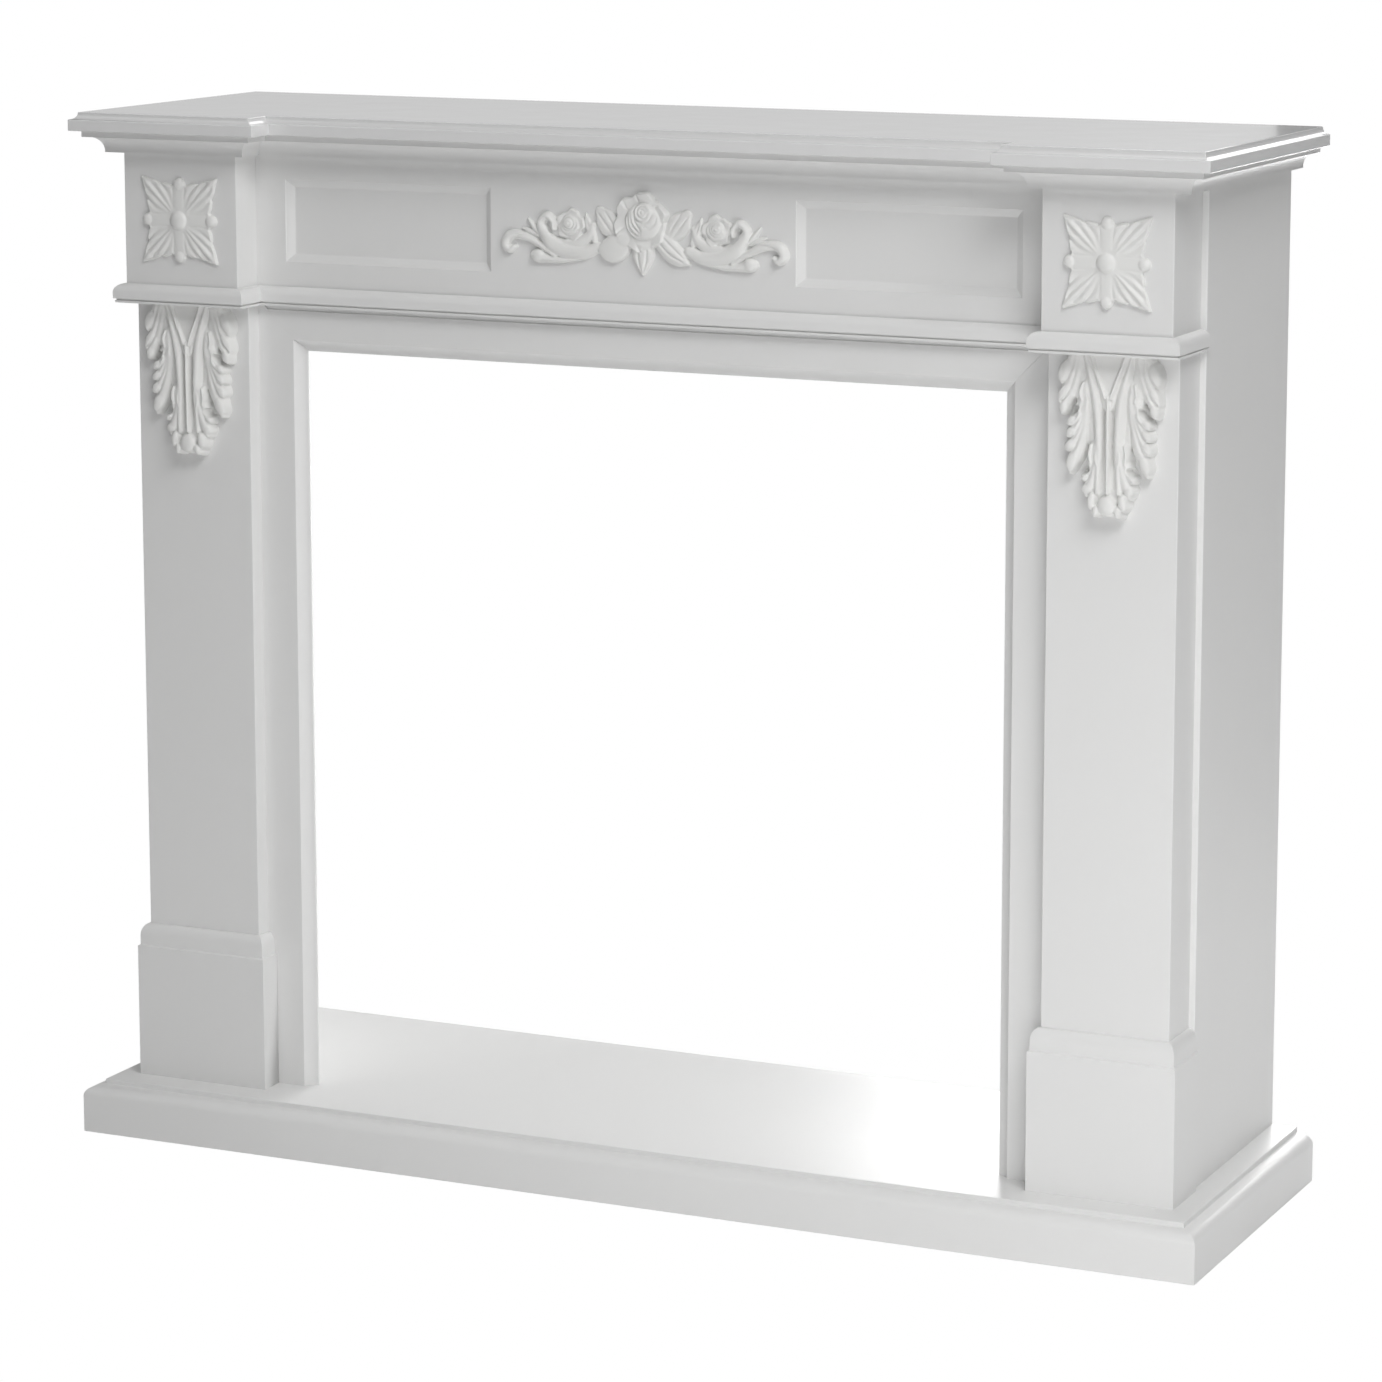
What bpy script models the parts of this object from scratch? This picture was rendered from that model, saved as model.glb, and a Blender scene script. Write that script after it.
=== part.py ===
import math

import bmesh
import bpy
from mathutils import Matrix, Vector

# Fireplace mantelpiece, painted board, in metres, front facing -Y, resting on Z = 0.

# Overall sizes, with the fire opening that the rest is set out from
DEPTH = 0.344
HEIGHT = 1.000
JOINT = 0.0003
OPENING_HALF = 0.3570
STILE_WIDTH = 0.0490
PILASTER_WIDTH = 0.1225
PILASTER_IN = OPENING_HALF + STILE_WIDTH
PILASTER_OUT = PILASTER_IN + PILASTER_WIDTH

# Legs of the surround
SHAFT_Y = 0.0563
CAPITAL_Y = 0.0364
BLOCK_OVER = 0.0095
BLOCK_STEP = 0.0020
BLOCK_OVOLO_H = 0.0120
CARCASS_Y = 0.1100
SIDE_PROUD = 0.0058
SIDE_OUT = PILASTER_OUT + SIDE_PROUD
SIDE_THICK = 0.0180

# Base plinth
PLINTH_OVER = 0.0465
WIDTH = 2 * (PILASTER_OUT + PLINTH_OVER)
BASE_FACE_H = 0.0364
BASE_ROUND_W = 0.0160
BASE_ROUND_H = 0.0098
BASE_TOP = 0.0510
HEARTH_DROP = 0.0015
HEARTH_THICK = 0.0160
HEARTH_HALF = SIDE_OUT - SIDE_THICK - JOINT
BLOCK_H = 0.1521
BLOCK_TOP = BASE_TOP + BLOCK_H
BLOCK_FACE_TOP = BLOCK_TOP - 0.0223

# Heights of the upper courses, down from the shelf
SHELF_THICK = 0.0175
BED_H = 0.0210
CAPITAL_H = 0.1252
MID_H = 0.0186
HEAD_H = 0.0432
SHELF_BOTTOM = HEIGHT - SHELF_THICK
CAPITAL_TOP = SHELF_BOTTOM - BED_H
MID_TOP = CAPITAL_TOP - CAPITAL_H
MID_BOTTOM = MID_TOP - MID_H
OPENING_TOP = MID_BOTTOM - HEAD_H

# Courses that break forward over the pilasters
SHELF_OVER = 0.0420
SHELF_HALF = PILASTER_OUT + SHELF_OVER
SHELF_Y = 0.0045
FRIEZE_THICK = 0.0180
FRIEZE_Y = 0.0736
MID_OVER = 0.0098
SHELF_RETURN = 0.0366
SHELF_BREAK_X = PILASTER_IN - SHELF_RETURN
SHELF_BREAK = 0.0315
SHELF_MIDDLE_Y = SHELF_Y + SHELF_BREAK
FILLET_BACK = 0.0092
FILLET_H = 0.0060
COVE_FLAT = 0.0042
COVE_W = 0.0118
SHELF_SCOOP = 0.0070
SHELF_LIP = 0.0010

# Frame round the fire opening
FRAME_SET_BACK = 0.0007
FRAME_Y = FRIEZE_Y + FRAME_SET_BACK
FRAME_THICK = 0.0110
HOLLOW_W = 0.0110
HOLLOW_DEEP = 0.0090
HOLLOW_SHARE = 0.5

# Cast ornaments, centred on the pilasters and on the frieze
ORNAMENT_X = (PILASTER_OUT + PILASTER_IN) / 2
ROSETTE_Z = (MID_TOP + CAPITAL_TOP) / 2
ROSETTE_HALF = 0.0415
CORBEL_DROP = 0.1450
SWAG_HALF = 0.1490
SWAG_X = 0.0030
SWAG_LIFT = 0.0136
SWAG_Z = ROSETTE_Z + SWAG_LIFT
SINK = 0.0030

# Sunk panels on the frieze, between the swag and the capitals
SWAG_SPACE = 0.0063
PANEL_SPACE = 0.0320
PANEL_ABOVE_MID = 0.0241
PANEL_BELOW_TOP = 0.0234
PANEL_IN = SWAG_HALF + SWAG_SPACE
PANEL_OUT = PILASTER_IN - PANEL_SPACE
PANEL_LOW = MID_TOP + PANEL_ABOVE_MID
PANEL_HIGH = CAPITAL_TOP - PANEL_BELOW_TOP
PANEL_DEEP = 0.0065

# Facets of the curved work
ARC_STEPS = 4
LEAF_STEPS = 10
LEAF_ACROSS = 6
GRAIN = 0.0011

for old in list(bpy.data.objects):
    bpy.data.objects.remove(old, do_unlink=True)

parts = bpy.data.collections.new("fireplace_mantelpiece")
bpy.context.scene.collection.children.link(parts)
cutters = bpy.data.collections.new("cutters")
cutters.hide_render = True
bpy.context.scene.collection.children.link(cutters)


# Painted finish, one material for each piece
def paint(name, colour, rough):
    mat = bpy.data.materials.new(name + "_paint")
    mat.use_nodes = True
    shader = mat.node_tree.nodes["Principled BSDF"]
    shader.inputs["Base Color"].default_value = (*colour, 1.0)
    shader.inputs["Roughness"].default_value = rough
    shader.inputs["Metallic"].default_value = 0.0
    return mat


BODY_WHITE = (0.80, 0.80, 0.79)
ORNAMENT_WHITE = (0.82, 0.82, 0.80)


# A named object from a finished mesh
def keep(name, bm, colour=BODY_WHITE, rough=0.38):
    bmesh.ops.remove_doubles(bm, verts=bm.verts, dist=0.00001)
    bmesh.ops.recalc_face_normals(bm, faces=bm.faces)
    mesh = bpy.data.meshes.new(name)
    bm.to_mesh(mesh)
    bm.free()
    obj = bpy.data.objects.new(name, mesh)
    parts.objects.link(obj)
    mesh.materials.append(paint(name, colour, rough))
    return obj


def add_cutter(name, bm):
    bmesh.ops.recalc_face_normals(bm, faces=bm.faces)
    mesh = bpy.data.meshes.new(name)
    bm.to_mesh(mesh)
    bm.free()
    obj = bpy.data.objects.new(name, mesh)
    obj.hide_render = True
    obj.display_type = "WIRE"
    cutters.objects.link(obj)
    return obj


def cut(obj, cutter):
    mod = obj.modifiers.new("cut_" + cutter.name, "BOOLEAN")
    mod.operation = "DIFFERENCE"
    mod.solver = "EXACT"
    mod.object = cutter
    return mod


# A plain board between two corners
def board_mesh(x0, x1, y0, y1, z0, z1):
    bm = bmesh.new()
    size = Matrix.Diagonal((x1 - x0, y1 - y0, z1 - z0, 1.0))
    middle = Matrix.Translation(((x0 + x1) / 2, (y0 + y1) / 2, (z0 + z1) / 2))
    bmesh.ops.create_cube(bm, size=1.0, matrix=middle @ size)
    return bm


# Arc from one point to another, bulging as a quarter ellipse about the given centre
def quarter(cx, cz, rx, rz, start, end, steps=ARC_STEPS):
    found = []
    for i in range(steps + 1):
        a = math.radians(start + (end - start) * i / steps)
        found.append((cx + rx * math.cos(a), cz + rz * math.sin(a)))
    return found


# A plan path of square turns, moved outward by a distance, its two ends kept on the back line
def moved_path(path, out):
    normals = []
    for a, b in zip(path, path[1:]):
        along = Vector((b[0] - a[0], b[1] - a[1])).normalized()
        normals.append(Vector((along.y, -along.x)))
    found = []
    for i, (x, y) in enumerate(path):
        push = Vector((0.0, 0.0))
        if i > 0:
            push += normals[i - 1]
        if i < len(normals):
            push += normals[i]
        if i in (0, len(path) - 1):
            found.append((x + push.x * out, y))
        else:
            found.append((x + push.x * out, y + push.y * out))
    return found


# A solid course whose edge profile runs round a plan path with mitred corners
def course(path, profile):
    bm = bmesh.new()
    rings = []
    for out, z in profile:
        ring = [bm.verts.new((x, y, z)) for x, y in moved_path(path, out)]
        rings.append(ring)
    count = len(path)
    for low, high in zip(rings, rings[1:]):
        for i in range(count):
            j = (i + 1) % count
            bm.faces.new((low[i], low[j], high[j], high[i]))
    bm.faces.new(rings[0][::-1])
    bm.faces.new(rings[-1])
    return bm


# Base plinth with a rounded upper edge and a shallow rebate for the hearth panel
base_path = [
    (-WIDTH / 2, DEPTH),
    (-WIDTH / 2, 0.0),
    (WIDTH / 2, 0.0),
    (WIDTH / 2, DEPTH),
]
base_profile = [(0.0, 0.0)]
base_profile += quarter(-BASE_ROUND_W, BASE_FACE_H, BASE_ROUND_W, BASE_ROUND_H, 0, 90)
base_profile += [(-BASE_ROUND_W - 0.0005, BASE_TOP)]
base = keep("base_plinth", course(base_path, base_profile))
hearth_y = FRAME_Y + FRAME_THICK + 2 * JOINT
hearth_low = BASE_TOP - HEARTH_DROP - HEARTH_THICK
rebate = board_mesh(
    -HEARTH_HALF,
    HEARTH_HALF,
    hearth_y - JOINT,
    DEPTH + 0.01,
    hearth_low - JOINT,
    BASE_TOP + 0.01,
)
cut(base, add_cutter("hearth_rebate", rebate))
hearth = board_mesh(
    -HEARTH_HALF + JOINT,
    HEARTH_HALF - JOINT,
    hearth_y,
    DEPTH,
    hearth_low,
    BASE_TOP - HEARTH_DROP,
)
keep("hearth_panel", hearth, rough=0.30)

# Side panels, set just proud of the pilasters and open at the back between them
for side, word in ((-1, "left"), (1, "right")):
    xs = sorted((side * SIDE_OUT, side * (SIDE_OUT - SIDE_THICK)))
    panel = board_mesh(
        *xs, CARCASS_Y + JOINT, DEPTH, BASE_TOP + JOINT, CAPITAL_TOP - JOINT
    )
    keep("side_panel_" + word, panel)

# Pilasters: foot block with an ovolo cap, plain shaft and square capital
for side, word in ((-1, "left"), (1, "right")):
    xs = sorted((side * PILASTER_OUT, side * PILASTER_IN))
    block_path = [
        (xs[0] - BLOCK_OVER, CARCASS_Y),
        (xs[0] - BLOCK_OVER, SHAFT_Y - BLOCK_OVER),
        (xs[1] + BLOCK_OVER, SHAFT_Y - BLOCK_OVER),
        (xs[1] + BLOCK_OVER, CARCASS_Y),
    ]
    round_r = BLOCK_OVER - BLOCK_STEP
    block_profile = [
        (0.0, BASE_TOP + JOINT),
        (0.0, BLOCK_FACE_TOP),
        (-BLOCK_STEP * 0.3, BLOCK_FACE_TOP + BLOCK_STEP * 0.8),
        (-BLOCK_STEP, BLOCK_FACE_TOP + BLOCK_STEP),
    ]
    block_profile += quarter(
        -BLOCK_OVER, BLOCK_TOP - BLOCK_OVOLO_H, round_r, BLOCK_OVOLO_H - JOINT, 0, 90
    )
    block = keep("foot_block_" + word, course(block_path, block_profile))
    notch_x = sorted((side * PILASTER_IN, side * (PILASTER_IN - BLOCK_OVER - 0.01)))
    notch = board_mesh(
        *notch_x, FRAME_Y - JOINT, CARCASS_Y + 0.01, BASE_TOP - 0.01, BLOCK_TOP + 0.01
    )
    cut(block, add_cutter("foot_notch_" + word, notch))

    shaft = board_mesh(*xs, SHAFT_Y, CARCASS_Y, BLOCK_TOP, MID_BOTTOM - JOINT)
    keep("pilaster_shaft_" + word, shaft)

    capital = board_mesh(
        *xs, CAPITAL_Y, CARCASS_Y, MID_TOP + JOINT, CAPITAL_TOP - JOINT
    )
    keep("capital_block_" + word, capital)

# Frieze board with two sunk panels
frieze_half = PILASTER_IN - JOINT
frieze = board_mesh(
    -frieze_half,
    frieze_half,
    FRIEZE_Y,
    FRIEZE_Y + FRIEZE_THICK,
    MID_TOP + JOINT,
    CAPITAL_TOP - JOINT,
)
frieze = keep("frieze_board", frieze)


# A sunk panel cutter, one rectangle inside the next as it goes deeper
def panel_cutter(x0, x1, z0, z1):
    steps = [
        (0.0, -0.0100),
        (0.0, 0.0010),
        (0.0025, 0.0024),
        (0.0050, 0.0046),
        (0.0072, PANEL_DEEP),
    ]
    bm = bmesh.new()
    rings = []
    for inset, deep in steps:
        corners = [
            (x0 + inset, z0 + inset),
            (x1 - inset, z0 + inset),
            (x1 - inset, z1 - inset),
            (x0 + inset, z1 - inset),
        ]
        rings.append([bm.verts.new((x, FRIEZE_Y + deep, z)) for x, z in corners])
    for near, far in zip(rings, rings[1:]):
        for i in range(4):
            j = (i + 1) % 4
            bm.faces.new((near[i], near[j], far[j], far[i]))
    bm.faces.new(rings[0])
    bm.faces.new(rings[-1])
    return bm


for side, word in ((-1, "left"), (1, "right")):
    xs = sorted((side * PANEL_IN, side * PANEL_OUT))
    sunk = panel_cutter(*xs, PANEL_LOW, PANEL_HIGH)
    cut(frieze, add_cutter("frieze_sunk_" + word, sunk))

# Moulding between frieze and pilasters: round nose, flat, small chamfer
mid_path = [
    (-PILASTER_OUT, CARCASS_Y),
    (-PILASTER_OUT, CAPITAL_Y),
    (-PILASTER_IN, CAPITAL_Y),
    (-PILASTER_IN, FRIEZE_Y),
    (PILASTER_IN, FRIEZE_Y),
    (PILASTER_IN, CAPITAL_Y),
    (PILASTER_OUT, CAPITAL_Y),
    (PILASTER_OUT, CARCASS_Y),
]
mid_profile = [
    (MID_OVER - 0.0046, MID_BOTTOM),
    (MID_OVER - 0.0040, MID_BOTTOM + 0.0012),
    (MID_OVER, MID_BOTTOM + 0.0048),
]
mid_profile += quarter(0.0, MID_TOP - 0.0081, MID_OVER, 0.0081, 0, 90)
keep("mid_moulding", course(mid_path, mid_profile))

# Bed course under the shelf: fillet over a cove, broken forward over the capitals
shelf_path = [
    (-SHELF_HALF, DEPTH),
    (-SHELF_HALF, SHELF_Y),
    (-SHELF_BREAK_X, SHELF_Y),
    (-SHELF_BREAK_X, SHELF_MIDDLE_Y),
    (SHELF_BREAK_X, SHELF_MIDDLE_Y),
    (SHELF_BREAK_X, SHELF_Y),
    (SHELF_HALF, SHELF_Y),
    (SHELF_HALF, DEPTH),
]
fillet_low = SHELF_BOTTOM - FILLET_H
cove_h = fillet_low - CAPITAL_TOP - 0.0010
cove_out = -FILLET_BACK - COVE_FLAT
bed_profile = [(cove_out - COVE_W + 0.0010, CAPITAL_TOP)]
bed_profile += quarter(cove_out, fillet_low - cove_h, COVE_W, cove_h, 180, 90)
bed_profile += [
    (-FILLET_BACK - 0.0010, fillet_low),
    (-FILLET_BACK, fillet_low + 0.0012),
    (-FILLET_BACK, SHELF_BOTTOM - JOINT),
]
keep("bed_cove", course(shelf_path, bed_profile))

# Shelf with a scooped upper edge
scoop_low = HEIGHT - SHELF_SCOOP
shelf_profile = [(-0.0006, SHELF_BOTTOM), (0.0, SHELF_BOTTOM + 0.0006)]
shelf_profile += [(0.0, scoop_low - 0.0004), (-SHELF_LIP * 0.4, scoop_low)]
scoop_r = SHELF_SCOOP - SHELF_LIP
shelf_profile += quarter(-SHELF_LIP, HEIGHT - 0.0006, scoop_r, scoop_r, 270, 180)
shelf_profile += [(-SHELF_SCOOP - 0.0006, HEIGHT)]
keep("mantel_shelf", course(shelf_path, shelf_profile), rough=0.25)


# Section of the frame members: distance from the opening edge, and depth
def frame_section(width):
    found = [(0.0, FRAME_Y + FRAME_THICK)]
    arc = quarter(0.0, 0.0, HOLLOW_W, HOLLOW_DEEP, 90, 0)
    for i, (w, deep) in enumerate(arc):
        share = i / (len(arc) - 1)
        flat_w, flat_deep = HOLLOW_W * share, HOLLOW_DEEP * (1 - share)
        found.append((
            flat_w + (w - flat_w) * HOLLOW_SHARE,
            FRAME_Y + flat_deep + (deep - flat_deep) * HOLLOW_SHARE,
        ))
    found += [(width, FRAME_Y), (width, FRAME_Y + FRAME_THICK)]
    return found


# A member made by carrying the section from one end to the other
def member(starts, ends):
    bm = bmesh.new()
    first = [bm.verts.new(p) for p in starts]
    last = [bm.verts.new(p) for p in ends]
    for i in range(len(first)):
        j = (i + 1) % len(first)
        bm.faces.new((first[i], first[j], last[j], last[i]))
    bm.faces.new(first[::-1])
    bm.faces.new(last)
    return bm


# Mitred frame: two stiles and a head rail round the fire opening
frame_top = MID_BOTTOM - JOINT
rail_width = frame_top - OPENING_TOP
stile_width = PILASTER_IN - JOINT - OPENING_HALF
for side, word in ((-1, "left"), (1, "right")):
    section = frame_section(stile_width)
    low = [
        (side * (OPENING_HALF + w), y, BASE_TOP + JOINT) for w, y in section
    ]
    high = [
        (
            side * (OPENING_HALF + w),
            y,
            min(OPENING_TOP + w - JOINT, frame_top),
        )
        for w, y in section
    ]
    section_at_mitre = rail_width + JOINT
    low_all = []
    high_all = []
    for (w, y), a, b in zip(section, low, high):
        if w == stile_width and y == FRAME_Y:
            x = side * (OPENING_HALF + section_at_mitre)
            low_all.append((x, y, BASE_TOP + JOINT))
            high_all.append((x, y, frame_top))
        low_all.append(a)
        high_all.append(b)
        if w == stile_width and y > FRAME_Y:
            x = side * (OPENING_HALF + section_at_mitre)
            low_all.append((x, y, BASE_TOP + JOINT))
            high_all.append((x, y, frame_top))
    keep("frame_stile_" + word, member(low_all, high_all))
section = frame_section(rail_width)
rail_left = [(-OPENING_HALF - w, y, OPENING_TOP + w) for w, y in section]
rail_right = [(OPENING_HALF + w, y, OPENING_TOP + w) for w, y in section]
keep("frame_head", member(rail_left, rail_right))


# Cast ornament, built up from overlapping leaves, buds and scrolls.
# Its own directions are right (u), up (v) and out from the board (h).
class Relief:
    def __init__(self, x, face_y, z, side=1, unit=1.0):
        self.bm = bmesh.new()
        self.x = x
        self.y = face_y
        self.z = z
        self.side = side
        self.unit = unit

    def at(self, u, v, h):
        k = self.unit
        return Vector((self.x + self.side * u * k, self.y - h * k, self.z + v * k))

    # A strip of changing width laid along a path, rounded across, with a raised or sunk middle line
    def strip(self, path, halves, tops, crown=0.45, rib=0.0, across=LEAF_ACROSS):
        rows = []
        for i, (u, v) in enumerate(path):
            a = path[max(i - 1, 0)]
            b = path[min(i + 1, len(path) - 1)]
            along = Vector((b[0] - a[0], b[1] - a[1])).normalized()
            over = Vector((-along.y, along.x))
            upper = []
            lower = []
            for k in range(across + 1):
                t = -1 + 2 * k / across
                wide = halves[i] * t
                h = tops[i] * (1 - crown * t * t) + rib * math.exp(-((t / 0.22) ** 2))
                pu = u + over.x * wide
                pv = v + over.y * wide
                upper.append(self.bm.verts.new(self.at(pu, pv, max(h, 0.0012))))
                lower.append(self.bm.verts.new(self.at(pu, pv, -SINK)))
            rows.append((upper, lower))
        face = self.bm.faces.new
        for (up0, lo0), (up1, lo1) in zip(rows, rows[1:]):
            for k in range(across):
                face((up0[k], up0[k + 1], up1[k + 1], up1[k]))
                face((lo0[k], lo1[k], lo1[k + 1], lo0[k + 1]))
            face((up0[0], up1[0], lo1[0], lo0[0]))
            face((up0[-1], lo0[-1], lo1[-1], up1[-1]))
        for upper, lower in (rows[0], rows[-1]):
            for k in range(across):
                face((upper[k], upper[k + 1], lower[k + 1], lower[k]))

    # A leaf along a bent midrib, with scalloped lobes down both edges
    def leaf(self, root, bend, tip, half, heights, lobes=0, notch=0.35, rib=0.0012, wide_at=0.5):
        path = []
        halves = []
        tops = []
        count = LEAF_STEPS
        for i in range(count + 1):
            s = i / count
            a, b, c = (1 - s) ** 2, 2 * s * (1 - s), s * s
            path.append(
                (
                    a * root[0] + b * bend[0] + c * tip[0],
                    a * root[1] + b * bend[1] + c * tip[1],
                )
            )
            swell = math.sin(math.pi * (0.10 + 0.90 * s ** (0.5 / wide_at)))
            wide = half * max(swell, 0.0) ** 0.7
            if lobes:
                wide *= 1 - notch * (1 - abs(math.sin(math.pi * lobes * s)))
            halves.append(max(wide, 0.0007))
            tops.append(a * heights[0] + b * heights[1] + c * heights[2])
        self.strip(path, halves, tops, rib=rib)

    # A squashed ball
    def bud(self, u, v, h, ru, rv, rh, turns=8):
        place = Matrix.Translation(self.at(u, v, h))
        shape = Matrix.Diagonal((ru * self.unit, rh * self.unit, rv * self.unit, 1.0))
        bmesh.ops.create_uvsphere(
            self.bm, u_segments=turns, v_segments=6, radius=1.0, matrix=place @ shape
        )

    # A rolled end that winds in to its own eye
    def volute(self, u, v, r0, r1, start, sweep, half, height, count=14):
        path = []
        halves = []
        tops = []
        for i in range(count + 1):
            s = i / count
            a = math.radians(start + sweep * s)
            r = r0 + (r1 - r0) * s
            path.append((u + r * math.cos(a), v + r * math.sin(a)))
            halves.append(half * (1 - 0.45 * s))
            tops.append(height * (0.75 + 0.35 * s))
        self.strip(path, halves, tops, crown=0.6, across=4)

    # An open rose: an outer and an inner ring of cupped petals round a bud
    def rose(self, u, v, radius, rise, outer=6, inner=5, turn=0.0):
        self.bud(u, v, rise * 0.30, radius * 0.80, radius * 0.80, rise * 0.45, turns=12)
        rings = ((outer, 1.0, 0.62, 0.55, 0.0), (inner, 0.66, 0.40, 0.88, 0.5))
        for count, reach, broad, lift, offset in rings:
            for i in range(count):
                a = turn + 2 * math.pi * (i + offset) / count
                c, s = math.cos(a), math.sin(a)
                r = radius * reach
                self.strip(
                    [(u + c * r * k, v + s * r * k) for k in (0.12, 0.40, 0.72, 0.92, 1.0)],
                    [r * broad * k for k in (0.35, 0.80, 1.00, 0.78, 0.40)],
                    [rise * lift * k for k in (0.80, 0.72, 0.88, 1.05, 0.92)],
                    crown=0.12,
                )
        self.bud(u, v, rise * 0.62, radius * 0.27, radius * 0.27, rise * 0.42)

    # Joined into one cast body, faceted, with a flat back on the board
    def finish(self, name, keep_share, ceiling=None):
        obj = keep(name, self.bm, ORNAMENT_WHITE, 0.42)
        blend = obj.modifiers.new("blend", "REMESH")
        blend.mode = "VOXEL"
        blend.voxel_size = GRAIN
        thin = obj.modifiers.new("facets", "DECIMATE")
        thin.ratio = keep_share
        xs = [v.co.x for v in obj.data.vertices]
        zs = [v.co.z for v in obj.data.vertices]
        back = board_mesh(
            min(xs) - 0.01,
            max(xs) + 0.01,
            self.y - JOINT,
            self.y + 0.01,
            min(zs) - 0.01,
            max(zs) + 0.01,
        )
        cut(obj, add_cutter(name + "_back", back))
        if ceiling is not None:
            above = board_mesh(
                min(xs) - 0.01,
                max(xs) + 0.01,
                self.y - 0.04,
                self.y + 0.01,
                ceiling,
                ceiling + 0.04,
            )
            cut(obj, add_cutter(name + "_top", above))
        return obj


# Each ornament is drawn at its own size and then scaled to the named one.
# Rosettes: four lobed corner leaves, four buds between them and a domed middle
def rosette(name, x, side):
    half = 0.0415
    form = Relief(x, CAPITAL_Y, ROSETTE_Z, side, unit=ROSETTE_HALF / half)
    for i in range(4):
        a = math.radians(45 + 90 * i)
        c, s = math.cos(a), math.sin(a)
        reach = half * 1.40
        form.leaf(
            (c * half * 0.14, s * half * 0.14),
            (c * half * 0.75, s * half * 0.75),
            (c * reach, s * reach),
            half * 0.52,
            (0.0055, 0.0090, 0.0040),
            lobes=3,
            notch=0.30,
            rib=0.0016,
            wide_at=0.52,
        )
    for i in range(4):
        a = math.radians(90 * i)
        c, s = math.cos(a), math.sin(a)
        form.strip(
            [(c * half * k, s * half * k) for k in (0.15, 0.45, 0.75)],
            [half * 0.10, half * 0.08, half * 0.06],
            [0.0040, 0.0035, 0.0035],
        )
        form.bud(c * half * 0.80, s * half * 0.80, 0.0015, 0.0052, 0.0052, 0.0050)
    form.bud(0.0, 0.0, 0.0030, half * 0.30, half * 0.30, 0.0060, turns=12)
    form.bud(0.0, 0.0, 0.0060, half * 0.16, half * 0.16, 0.0065)
    form.finish(name, ROSETTE_SHARE)


# Corbels: two stems falling to a ribbed middle, three lobed leaves a side and a curled foot
def corbel(name, x, side):
    top = MID_BOTTOM - JOINT
    drop = 0.1420
    half = 0.0445
    form = Relief(x, SHAFT_Y, top, side, unit=CORBEL_DROP / drop)
    for hand in (-1, 1):
        form.leaf(
            (hand * half * 0.50, -0.0010),
            (hand * half * 0.30, -drop * 0.24),
            (hand * half * 0.02, -drop * 0.46),
            half * 0.17,
            (0.0150, 0.0130, 0.0120),
            rib=0.0012,
        )
        form.leaf(
            (hand * half * 0.46, -0.0030),
            (hand * half * 0.98, -drop * 0.02),
            (hand * half * 0.99, -drop * 0.36),
            half * 0.27,
            (0.0140, 0.0130, 0.0060),
            lobes=3,
            rib=0.0012,
        )
        form.leaf(
            (hand * half * 0.30, -drop * 0.20),
            (hand * half * 0.80, -drop * 0.26),
            (hand * half * 0.86, -drop * 0.58),
            half * 0.25,
            (0.0130, 0.0130, 0.0060),
            lobes=3,
            rib=0.0012,
        )
        form.leaf(
            (hand * half * 0.12, -drop * 0.42),
            (hand * half * 0.60, -drop * 0.50),
            (hand * half * 0.58, -drop * 0.80),
            half * 0.23,
            (0.0130, 0.0130, 0.0070),
            lobes=3,
            rib=0.0012,
        )
        form.leaf(
            (hand * half * 0.06, -drop * 0.66),
            (hand * half * 0.34, -drop * 0.76),
            (hand * half * 0.30, -drop * 0.97),
            half * 0.17,
            (0.0130, 0.0150, 0.0120),
            lobes=2,
            rib=0.0010,
        )
    form.leaf(
        (0.0, -drop * 0.28),
        (0.0, -drop * 0.60),
        (0.0, -drop * 0.99),
        half * 0.24,
        (0.0100, 0.0160, 0.0200),
        rib=0.0020,
    )
    form.bud(0.0, -drop * 0.92, 0.0130, half * 0.24, drop * 0.07, 0.0090)
    form.strip(
        [(0.0, -0.0005), (0.0, -drop * 0.20), (0.0, -drop * 0.36)],
        [half * 0.44, half * 0.26, half * 0.08],
        [0.0045, 0.0045, 0.0045],
        crown=0.0,
    )
    form.finish(name, CORBEL_SHARE, ceiling=top)


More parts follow.
